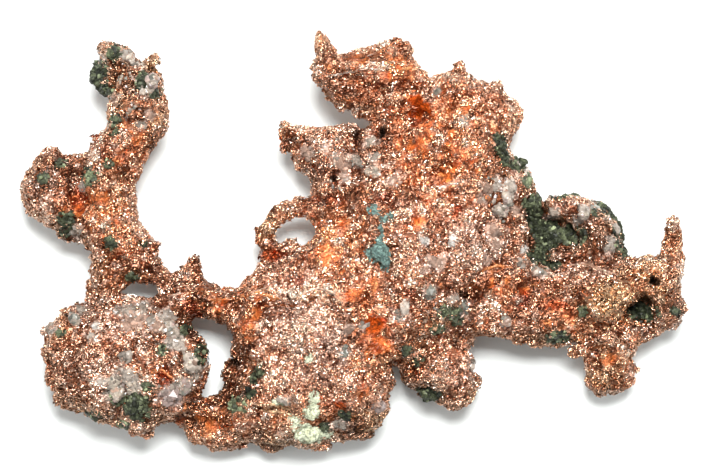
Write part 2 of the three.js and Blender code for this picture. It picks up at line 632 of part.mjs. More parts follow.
function squaredDistance(t, { x, y, z }) {
  return (
    t[0] * x * x + 2 * t[1] * x * y + 2 * t[2] * x * z + 2 * t[3] * x +
    t[4] * y * y + 2 * t[5] * y * z + 2 * t[6] * y +
    t[7] * z * z + 2 * t[8] * z + t[9]
  );
}

function bestPoint(terms, a, b) {
  const middle = a.clone().add(b).multiplyScalar(0.5);
  const options = [a.clone(), b.clone(), middle];
  const matrix = new THREE.Matrix3().set(
    terms[0], terms[1], terms[2],
    terms[1], terms[4], terms[5],
    terms[2], terms[5], terms[7],
  );
  if (Math.abs(matrix.determinant()) > 1e-3) {
    const solved = new THREE.Vector3(-terms[3], -terms[6], -terms[8]);
    solved.applyMatrix3(matrix.invert());
    if (solved.distanceTo(middle) < a.distanceTo(b)) options.push(solved);
  }
  const costs = options.map((option) => squaredDistance(terms, option));
  const best = costs.indexOf(Math.min(...costs));
  return { point: options[best], cost: Math.max(costs[best], 0) + 1e-3 * a.distanceToSquared(b) };
}

// A list kept in order of cost, cheapest first out.
class Queue {
  entries = [];

  push(entry) {
    this.entries.push(entry);
    let at = this.entries.length - 1;
    while (at > 0) {
      const parent = (at - 1) >> 1;
      if (this.entries[parent].cost <= entry.cost) break;
      this.entries[at] = this.entries[parent];
      at = parent;
    }
    this.entries[at] = entry;
  }

  pop() {
    const first = this.entries[0];
    const entry = this.entries.pop();
    const count = this.entries.length;
    let at = 0;
    while (count && 2 * at + 1 < count) {
      let child = 2 * at + 1;
      if (child + 1 < count && this.entries[child + 1].cost < this.entries[child].cost) child++;
      if (this.entries[child].cost >= entry.cost) break;
      this.entries[at] = this.entries[child];
      at = child;
    }
    if (count) this.entries[at] = entry;
    return first;
  }
}

// Folds edges away, the one that moves the surface least first, until the target is reached.
function thin({ points, faces }, target) {
  const quadrics = points.map(() => new Array(10).fill(0));
  const around = points.map(() => new Set());
  const version = points.map(() => 0);
  const alive = faces.map(() => true);
  const normalOf = (a, b, c) => b.clone().sub(a).cross(c.clone().sub(a));
  faces.forEach((face, n) => {
    const normal = normalOf(...face.map((p) => points[p]));
    const area = normal.length() / 2;
    normal.normalize();
    for (const p of face) {
      addPlane(quadrics[p], normal, -normal.dot(points[p]), area);
      around[p].add(n);
    }
  });
  const neighbours = (p) => {
    const found = new Set();
    for (const n of around[p]) for (const q of faces[n]) if (q !== p) found.add(q);
    return found;
  };
  const queue = new Queue();
  const offer = (a, b) => {
    const terms = quadrics[a].map((term, n) => term + quadrics[b][n]);
    const { point, cost } = bestPoint(terms, points[a], points[b]);
    queue.push({ a, b, cost, point, terms, stamp: version[a] + version[b] });
  };
  faces.forEach((face) => {
    face.forEach((p, n) => {
      if (p < face[(n + 1) % 3]) offer(p, face[(n + 1) % 3]);
    });
  });
  const staysUpright = (p, other, target) =>
    [...around[p]].every((n) => {
      if (faces[n].includes(other)) return true;
      const before = normalOf(...faces[n].map((q) => points[q]));
      const after = normalOf(...faces[n].map((q) => (q === p ? target : points[q])));
      return before.dot(after) > 0.3 * before.length() * after.length() && after.length() > 0.02;
    });
  let count = faces.length;
  while (count > target && queue.entries.length) {
    const { a, b, point, terms, stamp } = queue.pop();
    if (version[a] < 0 || version[b] < 0 || stamp !== version[a] + version[b]) continue;
    const beside = neighbours(b);
    const shared = [...neighbours(a)].filter((p) => beside.has(p));
    if (shared.length !== 2) continue;
    if (!staysUpright(a, b, point) || !staysUpright(b, a, point)) continue;
    for (const n of [...around[b]]) {
      if (faces[n].includes(a)) {
        alive[n] = false;
        count--;
        for (const p of faces[n]) around[p].delete(n);
      } else {
        faces[n] = faces[n].map((p) => (p === b ? a : p));
        around[a].add(n);
      }
    }
    points[a] = point;
    quadrics[a] = terms;
    version[a] += 1;
    version[b] = -Infinity;
    for (const p of neighbours(a)) {
      version[p] += 1;
      for (const q of neighbours(p)) offer(p, q);
    }
  }
  return { points, faces: faces.filter((face, n) => alive[n]) };
}

// ---- Solids -----------------------------------------------------------------------------------

function geometryOf({ points, faces }) {
  const geometry = new THREE.BufferGeometry();
  const numbers = points.flatMap((point) => point.toArray());
  geometry.setAttribute("position", new THREE.Float32BufferAttribute(numbers, 3));
  geometry.setIndex(faces.flat());
  return geometry;
}

function solidOf(geometry) {
  const bare = new THREE.BufferGeometry();
  bare.setAttribute("position", geometry.getAttribute("position"));
  if (geometry.index) bare.setIndex(geometry.index);
  const merged = mergeVertices(bare, 1e-3);
  return new wasm.Manifold(
    new wasm.Mesh({
      numProp: 3,
      vertProperties: new Float32Array(merged.attributes.position.array),
      triVerts: new Uint32Array(merged.index.array),
    }),
  );
}

function meshOf(name, solid, look) {
  const { numProp, vertProperties, triVerts } = solid.getMesh();
  const geometry = new THREE.BufferGeometry();
  const positions = new THREE.InterleavedBuffer(vertProperties, numProp);
  geometry.setAttribute("position", new THREE.InterleavedBufferAttribute(positions, 3, 0));
  geometry.setIndex(new THREE.BufferAttribute(triVerts, 1));
  const mesh = new THREE.Mesh(geometry, new THREE.MeshStandardMaterial(look));
  mesh.name = name;
  return mesh;
}

// ---- Grains and their seats -------------------------------------------------------------------

// The height of the copper's upper surface over a point.
function surfaceHeight(x, y) {
  const step = 0.1;
  let z = BOUNDS.max[2];
  while (z > 0 && copperField(x, y, z) < 0) z -= step;
  return z;
}

// A pebble with dents, swollen by a margin on every side.
function lumpSolid([x, y, halfWidth, halfLength, turn, middle], depth, margin, seed) {
  const dent = 0.16;
  const sunk = 0.35; // how far the pebble's middle lies under the copper's surface
  const halfHeight = depth ?? Math.min(halfWidth, halfLength);
  const z = middle ?? surfaceHeight(x, y) - sunk * halfHeight;
  const geometry = new THREE.DodecahedronGeometry(1, 0);
  const positions = geometry.getAttribute("position");
  const vertex = new THREE.Vector3();
  for (let n = 0; n < positions.count; n++) {
    vertex.fromBufferAttribute(positions, n).normalize();
    const spot = vertex.clone().multiplyScalar(1.7).addScalar(seed * 7.3);
    vertex.multiplyScalar(1 + dent * noise(spot.x, spot.y, spot.z));
    positions.setXYZ(n, vertex.x, vertex.y, vertex.z);
  }
  geometry.scale(halfWidth + margin, halfLength + margin, halfHeight + margin);
  geometry.rotateZ(THREE.MathUtils.degToRad(turn));
  geometry.translate(x, y, z);
  return solidOf(geometry);
}

function grainSolid(grain, margin) {
  const seed = GRAINS.indexOf(grain) + 1;
  return grain.lumps
    .map((lump) => lumpSolid(lump, grain.depth, margin, seed))
    .reduce((whole, lump) => whole.add(lump));
}

// ---- The nugget -------------------------------------------------------------------------------

const COPPER = { color: 0xc87850, roughness: 0.42, metalness: 1 };
const FLOOR_DEPTH = 20;

function copperSolid() {
  const traced = thin(traceSurface(copperField), COPPER_TRIANGLES);
  const floorSize = [0, 1].map((axis) => BOUNDS.max[axis] - BOUNDS.min[axis]);
  const floor = new THREE.BoxGeometry(floorSize[0], floorSize[1], FLOOR_DEPTH);
  floor.translate(0, 0, -FLOOR_DEPTH / 2);
  const seats = GRAINS.map((grain) => grainSolid(grain, SEAT_GAP));
  return [solidOf(floor), ...seats].reduce(
    (copper, cut) => copper.subtract(cut),
    solidOf(geometryOf(traced)),
  );
}

const nugget = new THREE.Group();
nugget.add(meshOf("copper_mass", copperSolid(), COPPER));
for (const grain of GRAINS) nugget.add(meshOf(grain.name, grainSolid(grain, 0), grain.look));

const middle = new THREE.Box3().setFromObject(nugget).getCenter(new THREE.Vector3());
nugget.position.set(-middle.x, -middle.y, 0);

const group = new THREE.Group();
group.name = "native_copper_nugget";
group.add(nugget);

export default group;
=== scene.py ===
import math

import bmesh
import bpy
import numpy as np
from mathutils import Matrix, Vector
from mathutils.bvhtree import BVHTree


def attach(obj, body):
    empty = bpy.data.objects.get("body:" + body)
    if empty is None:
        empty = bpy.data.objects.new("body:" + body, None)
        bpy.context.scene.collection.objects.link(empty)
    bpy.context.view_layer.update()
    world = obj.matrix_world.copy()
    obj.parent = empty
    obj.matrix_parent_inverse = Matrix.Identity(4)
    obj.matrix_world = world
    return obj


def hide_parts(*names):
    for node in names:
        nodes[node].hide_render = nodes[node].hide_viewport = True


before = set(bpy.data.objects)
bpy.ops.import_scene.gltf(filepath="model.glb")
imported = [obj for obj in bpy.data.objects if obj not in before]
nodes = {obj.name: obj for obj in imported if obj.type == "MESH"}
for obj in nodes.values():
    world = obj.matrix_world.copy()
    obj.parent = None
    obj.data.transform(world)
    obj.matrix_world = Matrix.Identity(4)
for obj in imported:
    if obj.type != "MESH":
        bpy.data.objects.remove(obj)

MM = 0.001

# The middle of the nugget's outline in the frame: the places below are given from that point.
MIDDLE = np.array([0.111, 0.876]) * MM

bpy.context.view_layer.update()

# ---- Numbers that set the look ----

SKIN_CELL = 0.48 * MM  # mesh step of the copper's own skin
SKIN_ROUGHNESS = [  # size and height of each layer of roughness, in mm
    (4.6, 1.1),
    (2.3, 0.85),
    (1.15, 0.4),
]
SKIN_INSET = 0.28  # mm that the skin lies inside the CAD shape, to make room for its crystals
SKIN_GRAIN = 0.05  # mm, random shift of each point of the skin
GRAIN_HOLLOW = 0.4  # mm that the skin lies deeper under a CAD grain
TWIG_BALLS = 5  # how many balls make up a twig
ZONE_SHARPNESS = 6.0  # how sharp the borders of the colour zones are
FOLD_SPREAD = 1.4  # how wide the folds lie, beside what FOLDS says
FOLD_DEPTH = 1.2  # how high or deep they are, beside what FOLDS says
CRYSTALS, CRYSTAL_SIZE = 23000, (0.16, 0.5)  # how many, and half-length from smallest to largest, in mm
NEEDLES, NEEDLE_SIZE = 24500, (0.22, 0.62)
FLAKES, FLAKE_SIZE = 4000, (0.3, 0.8)
WIRES, WIRE_SIZE = 9000, (0.25, 0.8)
WIRE_STEPS = [(-1.0, 0.25), (-0.35, 1.0), (0.35, 1.0), (1.0, 0.25)]  # place along a wire, and its width there
SPOT_REACH = 1.15  # how far a mineral covers the copper, in radii of its spot
DARK_CRYSTALS = 0.12  # share of the crystals and needles that are dark
CRYSTAL_SPREAD = 0.2  # how far the crystals' brightness varies, as a share of it
RIB_STEP = 0.35  # mm between the rings of a rib
RIB_MATT = 0.7  # how matt the ribs are, from 0 to 1
RIB_LIFT = 0.12  # mm that a rib stands above the skin
RIB_SECTION = ((-1, 0), (0.1, 0.7), (1, 0), (0, -0.7))  # across and up, in half-widths

# ---- Noise ----


def cell_random(cells, seed):
    """A random number from 0 to 1 for each row of three whole numbers."""
    bits = cells.astype(np.int64).astype(np.uint64)
    mixed = bits[:, 0] * np.uint64(374761393) + bits[:, 1] * np.uint64(668265263)
    mixed += bits[:, 2] * np.uint64(2147483647) + np.uint64(seed * 1274126177)
    mixed = (mixed ^ (mixed >> np.uint64(13))) * np.uint64(1103515245)
    mixed = (mixed ^ (mixed >> np.uint64(16))) * np.uint64(2654435761)
    mixed ^= mixed >> np.uint64(15)
    return (mixed & np.uint64(0xFFFFFF)).astype(float) / 0xFFFFFF


def noise(points, size, seed):
    """Smooth noise from -1 to 1 at each point, with lumps about size across."""
    spot = points / size
    low = np.floor(spot)
    share = spot - low
    share = share * share * (3 - 2 * share)
    total = np.zeros(len(points))
    for corner in np.ndindex(2, 2, 2):
        step = np.array(corner)
        weight = np.prod(np.where(step, share, 1 - share), axis=1)
        total += weight * cell_random(low + step, seed)
    return total * 2 - 1


def layers(points, base, *parts):
    """Noise in layers over a base value: each part is its strength, its size in mm and its seed."""
    for strength, size, seed in parts:
        base = base + strength * noise(points, size * MM, seed)
    return base


def billow(points, size, seed):
    """Rounded lumps with sharp creases between them, from about -0.3 to 0.7."""
    return np.abs(noise(points, size, seed)) - 0.3


# ---- Meshes from arrays ----


def add_object(name, data):
    """A new object in the scene."""
    obj = bpy.data.objects.new(name, data)
    bpy.context.scene.collection.objects.link(obj)
    return obj


def make_object(name, vertices, faces, colors):
    """An object with flat faces and a colour for each vertex, kept as "tint"."""
    mesh = bpy.data.meshes.new(name)
    sides = faces.shape[1]
    mesh.vertices.add(len(vertices))
    mesh.vertices.foreach_set("co", np.ascontiguousarray(vertices, dtype=np.float32).ravel())
    mesh.loops.add(faces.size)
    mesh.loops.foreach_set("vertex_index", np.ascontiguousarray(faces, dtype=np.int32).ravel())
    mesh.polygons.add(len(faces))
    mesh.polygons.foreach_set("loop_start", np.arange(0, faces.size, sides, dtype=np.int32))
    mesh.polygons.foreach_set("use_smooth", np.full(len(faces), False))
    mesh.update(calc_edges=True)
    layer = mesh.color_attributes.new("tint", "FLOAT_COLOR", "POINT")
    rgba = np.zeros((len(vertices), 4), dtype=np.float32)
    rgba[:, :colors.shape[1]] = colors
    layer.data.foreach_set("color", rgba.ravel())
    return add_object(name, mesh)


def read(items, field, kind):
    """Three values of each item of a mesh, as an array."""
    values = np.empty(len(items) * 3, dtype=kind)
    items.foreach_get(field, values)
    return values.reshape(-1, 3)


def arrays_of(obj):
    """Vertices, triangles and normals of an object as it looks with its modifiers."""
    graph = bpy.context.evaluated_depsgraph_get()
    mesh = bpy.data.meshes.new_from_object(obj.evaluated_get(graph))
    mesh.calc_loop_triangles()
    vertices = read(mesh.vertices, "co", np.float32).astype(float)
    triangles = read(mesh.loop_triangles, "vertices", np.int32)
    normals = read(mesh.vertex_normals, "vector", np.float32).astype(float)
    bpy.data.meshes.remove(mesh)
    return vertices, triangles, normals


def unit(vectors):
    """The vectors made one long."""
    return vectors / np.maximum(np.linalg.norm(vectors, axis=-1, keepdims=True), 1e-12)


def above_floor(points):
    """The points, none of them below the floor."""
    points[:, 2] = np.maximum(points[:, 2], 0.0)
    return points


def icosphere(levels):
    """Vertices and triangles of a ball of radius 1."""
    ball = bmesh.new()
    bmesh.ops.create_icosphere(ball, subdivisions=levels, radius=1.0)
    vertices = np.array([v.co[:] for v in ball.verts])
    faces = np.array([[v.index for v in f.verts] for f in ball.faces])
    ball.free()
    return vertices, faces


def random_turns(count, rng):
    """One rotation matrix for each item, all directions alike."""
    q = unit(rng.normal(size=(count, 4)))
    w, x, y, z = q.T
    return np.array([
        [1 - 2 * (y * y + z * z), 2 * (x * y - z * w), 2 * (x * z + y * w)],
        [2 * (x * y + z * w), 1 - 2 * (x * x + z * z), 2 * (y * z - x * w)],
        [2 * (x * z - y * w), 2 * (y * z + x * w), 1 - 2 * (x * x + y * y)],
    ]).transpose(2, 0, 1)


# ---- Places, read as millimetres from the middle of the outline ----

# Small growths of copper that stand out from the CAD shape: start and end (x, y, z), radii.
TWIGS = [
    ((-5.2, 30.6, 15), (-5.2, 32.1, 15.4), 1.5, 1.4), ((-5.6, 32.4, 15.2), (-5.6, 33.6, 15.4), 1, 0.8),
    ((-26.2, -5, 11), (-26.1, -3.5, 12.4), 1.4, 1), ((52.6, -3.6, 10), (52.9, 2.4, 11.6), 1.7, 1.5),
    ((46, -21.2, 7), (47.2, -22, 7.6), 1.2, 0.9), ((37.8, -18.2, 8), (36.4, -19.4, 8.4), 0.8, 0.4),
    ((53, -12, 7.6), (54.5, -11.7, 8), 1.5, 1.2), ((23.6, 23.8, 12), (23.6, 25.2, 12.4), 1.2, 1),
    ((17, 26.4, 12), (17.1, 28.1, 12.2), 1.3, 1.1), ((19.2, 26.2, 12), (19.3, 26.8, 12), 0.8, 0.7),
    ((6.4, 31.4, 14), (6.8, 32.6, 14.2), 1.3, 0.8), ((7.2, 32.6, 14), (9.2, 31.2, 14), 0.9, 0.9),
    ((-13, 4.2, 9.4), (-13.1, 5.4, 10), 0.6, 0.4), ((-10.8, 17.2, 10.5), (-11.1, 17.9, 10.6), 1.7, 1.5),
    ((-33.4, -0.8, 9.8), (-32.2, -1.2, 10.4), 0.8, 0.5), ((-11.6, -1.6, 8.8), (-10.8, -0.4, 9), 0.8, 0.5),
    ((-33.4, 28.6, 11), (-32.9, 29.4, 11.6), 1, 0.8), ((-42.4, 16.6, 9.5), (-43.6, 16.8, 10), 1, 0.6),
    ((33.8, -2.6, 9.6), (36.9, -2.4, 9.9), 1.5, 1.5), ((34.6, -1.2, 9.6), (35.2, -0.4, 9.5), 1.2, 0.8),
    ((37.4, -1, 9.4), (38.2, 2, 10), 1.2, 1.2), ((-23, -34.6, 5.6), (-18.8, -34.6, 5.6), 1.2, 1.2),
    ((-48.8, -26.6, 8), (-46, -28, 8), 1.3, 1.3), ((-14.8, -34.4, 6), (-11.6, -34.2, 6), 1.2, 1.1),
    ((-6.4, -34.3, 7), (-4.4, -34.3, 7), 1, 0.9), ((1, -32.6, 7), (2.4, -32.2, 7), 0.9, 0.8),
    ((-2.8, 21.8, 12), (-1.6, 21.4, 12), 0.9, 0.8), ((-48.6, 0.7, 8), (-46.2, -0.3, 8), 1.2, 1.1),
    ((52.6, -14.6, 8), (54, -13.6, 8), 1.1, 0.9), ((-16, -0.8, 8.5), (-16.2, 1.4, 8.5), 0.8, 0.8),
    ((30.4, -17.8, 8), (33.6, -17.8, 8), 0.9, 0.9), ((-44, -9.8, 8.5), (-44.2, -7.6, 8.5), 0.9, 0.9),
    ((-21.3, -22.9, 7.5), (-21.3, -20.9, 7.5), 0.9, 0.9),
    ((-51.2, -17.8, 9), (-51.2, -15.4, 9), 0.9, 0.9), ((-41.8, 31.6, 10.4), (-40.4, 32, 10.6), 1.2, 1.1),
    ((-38.6, 31, 10.4), (-37.8, 31.2, 10.4), 1, 0.8), ((19.2, -22.2, 8), (19.4, -20.6, 8), 1, 1),
    ((-11.8, 14.6, 10), (-11.6, 15.8, 10), 1, 1),
]

# Colour zones on the copper, by kind: x, y, radius along x, radius along y, strength.
ZONES = {
    "rust": [
        (10.5, 21.2, 1.9, 2.6, 1), (10.4, 19, 1, 1.4, 0.7), (3, -13.8, 1.3, 1.6, 1),
        (-2.3, -27.2, 1, 0.9, 0.9),
    ],
    "red": [
        (-13.5, -3, 2.2, 1.2, 0.8), (16.7, 4.6, 1, 1, 0.9), (-9.2, -7.3, 1.3, 1, 0.7),
        (27.9, -9.6, 1.4, 1.4, 0.8), (32.7, -11.2, 3.2, 1.1, 0.8), (-45.6, 7.6, 1.2, 2.6, 0.7),
        (-27, -11.8, 1.6, 1.6, 0.7), (-31.4, -23.4, 1.3, 1.3, 0.7), (-42.8, 16.9, 1, 1, 0.8),
        (8.9, -9, 1.2, 1.2, 0.5), (5.3, 6.5, 1.2, 1.2, 0.5), (-3.6, 6.3, 2.6, 1, 0.4),
    ],
    "ember": [
        (0, -9.8, 2.2, 2.2, 1), (3.9, -18, 1.8, 1.8, 0.9),
    ],
    "orange": [
        (-1.6, 1.7, 1.6, 1.6, 0.8), (-4.2, -2.1, 1.5, 1.5, 0.8), (3.4, -7.8, 0.9, 2.2, 0.8),
        (-17, -14, 1.8, 1.8, 0.8), (10.5, 2.2, 1.5, 1.5, 0.9), (11, 15.3, 2, 2, 0.8),
        (15.5, 9.1, 1.8, 1.8, 0.8), (22.9, 17.7, 1.8, 1.8, 0.7), (17.9, 13.4, 1.8, 1.8, 0.8),
        (0.8, 29.3, 2, 1.6, 0.8), (5.5, 26.5, 2.4, 1.4, 0.9), (-35.9, 16.7, 1.6, 1.6, 0.7),
        (-49, 5.9, 1.8, 1.8, 0.5), (-42.6, 6.7, 1.6, 1.6, 0.6), (-23.7, -31.2, 2.2, 1.8, 1),
        (-22.6, -10.7, 1.8, 1.4, 0.8), (16.2, -19, 1.8, 1.4, 0.6), (35.4, -13.2, 1.6, 1.6, 0.8),
        (42.4, -20.5, 2.2, 1.4, 1), (1.4, -25.1, 1.8, 1.8, 0.9),
    ],
    "glow": [
        (15, 21.5, 3.6, 3, 0.6), (9, 10.5, 3, 3, 0.45), (-18.5, -29.5, 3, 2.5, 0.6),
        (24, -8.5, 3, 2, 0.5),
    ],
    "tan": [
        (41.3, -10.1, 4.2, 3.8, 0.9), (-33.6, 28.4, 1.2, 1.2, 0.8), (-32.1, 19.1, 1.4, 1.4, 0.6),
        (41, -23.3, 2.6, 1.4, 0.9), (19.8, -26.1, 1.4, 1.4, 0.6), (49.5, -8.5, 2.6, 3, 0.5),
        (-13.2, -34.3, 1.4, 1.2, 0.7), (3.2, -30, 2.6, 2.4, 0.6), (-12.6, -27.9, 3, 1.2, 0.6),
        (-14, 1.8, 1.8, 3.4, 0.5),
    ],
    "pale": [
        (-50.7, 4.8, 2.4, 2.4, 0.6), (22.5, -10.9, 2, 1.8, 0.7), (-8, -13, 8, 7, 0.55),
        (-6, -21, 6, 4, 0.4), (38, -6, 4, 2, 0.4),
    ],
    # Small holes and grooves painted near-black: painted shade.
    "pit": [
        (-3.4, 9.7, 0.8, 1.2, 1), (4.5, 17.1, 0.6, 0.9, 1), (0.6, 17, 0.7, 0.8, 0.8),
        (5.4, 6.6, 0.6, 1.3, 0.6), (49.6, -7.2, 0.8, 0.7, 1), (-19.6, -20.8, 1.2, 1.4, 0.9),
        (28.3, -7.9, 1.1, 0.6, 0.8), (18.2, -9.4, 1, 0.8, 0.7), (-0.8, 23.2, 0.8, 0.7, 0.6),
        (46.5, -11.6, 1.2, 1, 0.8), (19.4, 20.2, 0.7, 0.6, 0.6), (-37.4, -6.6, 0.9, 0.6, 0.6),
    ],
}

# Reach and strength of the orange kinds of zone, beside what ZONES says.
ORANGE_KINDS = {"ember": (1.0, 1.0), "orange": (0.72, 0.85), "glow": (0.8, 0.55)}

# Broad, soft changes of the copper's colour, by kind: x, y, radius along x, radius along y, strength. The
# light kind is painted light and the shade kind is painted shade, which make broad areas lighter or darker.
TONES = {
    "warm": [
        (6, 27.5, 5.5, 3, 0.5), (14.5, 15, 6.5, 6.5, 0.7), (17, 21.5, 4, 3.5, 0.5),
        (-3.5, -0.5, 5, 5.5, 0.45), (0.5, -11.5, 3, 3.5, 0.6), (3, -17.5, 3.2, 3.5, 0.6),
        (-16.5, -13.5, 4, 4.5, 0.65), (-24, -30.5, 5, 3.2, 0.7), (-36.5, 17, 4.5, 5, 0.4),
        (-40, 3, 4, 6, 0.4), (26, -9, 6, 3.5, 0.45), (35, -13, 4, 3, 0.4), (-45, 5, 3, 4, 0.4),
        (-10, -28.5, 6, 3, 0.3), (22, 9, 4, 4, 0.4), (-11, 16, 3, 4, 0.35), (-22, -10.5, 5, 2.5, 0.45),
        (10.5, 3, 2.5, 2.5, 0.4),
    ],
    "umber": [
        (-2.5, 26, 3, 1.6, 0.5), (0.5, 18.6, 2.2, 1.2, 0.5), (-13.5, -3, 2.2, 3.2, 0.8),
        (2.5, -30.5, 5, 3, 0.9), (-28, -10, 6, 2.6, 0.6), (-35, -5.5, 4.5, 2.6, 0.6),
        (-26.4, -7, 1.8, 3, 0.4), (-20, -21, 1.5, 4, 0.7), (8.5, -21.5, 2.6, 3, 0.8),
        (18, -9.5, 2, 2, 0.6), (46.5, -12.5, 3.2, 2.6, 0.7), (-29, -27, 4, 2.4, 0.6),
        (-5, 7, 3.5, 2.2, 0.45), (-51.5, 11.5, 3.5, 4, 0.45), (-46, 12, 3, 3, 0.35),
        (-51, -20, 2.4, 8, 0.4), (-3, 10, 1.6, 2, 0.5), (28, -10.5, 4, 2, 0.35), (7.5, 8.5, 3, 2, 0.25),
        (41, -23.8, 3.5, 2.2, 0.75),
    ],
    "olive": [
        (-39.5, 28, 4, 5, 0.55), (-38.5, 21.5, 3.5, 2.5, 0.4), (13.5, -13.5, 6.5, 5, 0.5),
        (10, -19.5, 4, 3.5, 0.6), (-19.5, -25.5, 2.4, 3.5, 0.5), (26.5, 14, 3, 4, 0.5),
        (-40, -28.5, 10, 2.6, 0.5), (-33, -16, 4, 5, 0.3), (33, 0, 6, 4, 0.6), (-47.5, 2.5, 3, 2.6, 0.55),
        (42.5, 2, 3, 4, 0.45), (-10, -33, 7, 1.8, 0.5), (32, -16.5, 5, 1.8, 0.5), (13, -25, 4, 2.4, 0.5),
        (4, 3, 1.6, 3, 0.4),
    ],
    "gold": [
        (42.5, -10, 6, 4.5, 0.7), (41.5, -21.5, 5, 4.5, 0.5), (49, -7, 5, 4, 0.5),
        (-48.5, -14.5, 4, 3.5, 0.4), (-41, -5, 3, 4, 0.45), (-14, 2, 2.5, 5, 0.5), (53, 0, 2, 4, 0.3),
        (-32.5, 19.5, 2, 2.5, 0.4), (-33, 28.5, 1.8, 1.6, 0.5), (-6, 31.5, 1.6, 3.5, 0.35),
        (-41, 7, 3, 4, 0.3),
    ],
    "rose": [
        (-9, -14.5, 6.5, 6, 0.75), (-13, -20, 4, 5, 0.5), (11, 4.5, 6, 5, 0.5), (20, 0, 5.5, 4.5, 0.5),
        (-38, -14.5, 6.5, 4, 0.5), (-40, -22.5, 5, 4.5, 0.5), (15.5, -24, 4, 3.5, 0.45),
        (-12, -7, 4.5, 3, 0.45), (22, 24, 4, 3, 0.35), (36.5, 4.5, 3, 2, 0.5), (-4, 14, 5, 3, 0.35),
        (8, -4, 5, 4, 0.35), (-50.5, 5, 2, 2, 0.6), (30, -11.5, 4, 2, 0.2), (38, -6, 4, 2, 0.3),
    ],
    "light": [
        (-1, -3.5, 9, 7.5, 0.65), (5.5, -14, 4.5, 7, 0.6), (-14.5, -21, 3, 3.5, 0.9),
        (6, 22.5, 7, 4.5, 0.6), (12, -17.5, 4, 5, 0.45), (10.5, 6.5, 8, 4.5, 0.5), (48, -9.5, 3, 3, 0.8),
        (-39, 4, 5, 7, 0.3), (22.5, 20, 4, 3.5, 0.45), (16, 13, 4.5, 3, 0.5), (7.5, 19, 3, 2.5, 0.5),
        (-36.5, -21, 4, 3, 0.75), (33.5, 4, 3, 2.5, 0.4), (4, -20.5, 4.5, 3, 0.9),
        (38, -13.5, 4, 4, 0.35), (-38, -5, 3.5, 3, 0.6), (8.5, -6.5, 3.5, 3, 0.7),
        (13.5, -16, 3.5, 3.5, 0.7), (-17, -21, 1.8, 3, 0.8), (8.5, 9, 3, 3, 0.35), (3, -10.5, 3, 3, 0.4),
        (-13, -6.5, 3, 2.5, 0.4), (-47.5, 4.5, 2.5, 2.5, 0.5),
    ],
    "shade": [
        (2, -31.5, 6, 3, 0.8), (-13, -35, 10, 2.8, 0.55), (-30, -30, 8, 3, 0.4),
        (-36.5, 27.5, 3.5, 4.5, 0.6), (-34, 19, 3.5, 3, 0.4), (-47.5, -21.5, 4, 6, 0.4),
        (-43, -11, 4.5, 2.4, 0.6), (-47.5, -1, 4, 3, 0.8), (53, -13, 3.5, 5, 0.75),
        (-37, 4.5, 2, 3.5, 0.5), (23, 9, 3, 3, 0.35), (21.5, -1, 4.5, 3, 0.35), (43, -1, 3, 2.5, 0.7),
        (3, 14.5, 4, 3, 0.4), (-7, 14, 3, 3, 0.35), (-2.5, -17.5, 4, 4, 0.5), (8.5, -26.5, 4, 3, 0.8),
        (-12, -11.5, 4.5, 1.4, 0.4), (-52, 9, 3, 3, 0.5), (-32, -16, 3, 3, 0.3), (-7, -22, 3, 2.5, 0.4),
        (43, -25.5, 3, 2, 0.6), (-12, -26.5, 3, 2, 0.5), (-32, -5.5, 2.5, 2, 0.6),
    ],
}

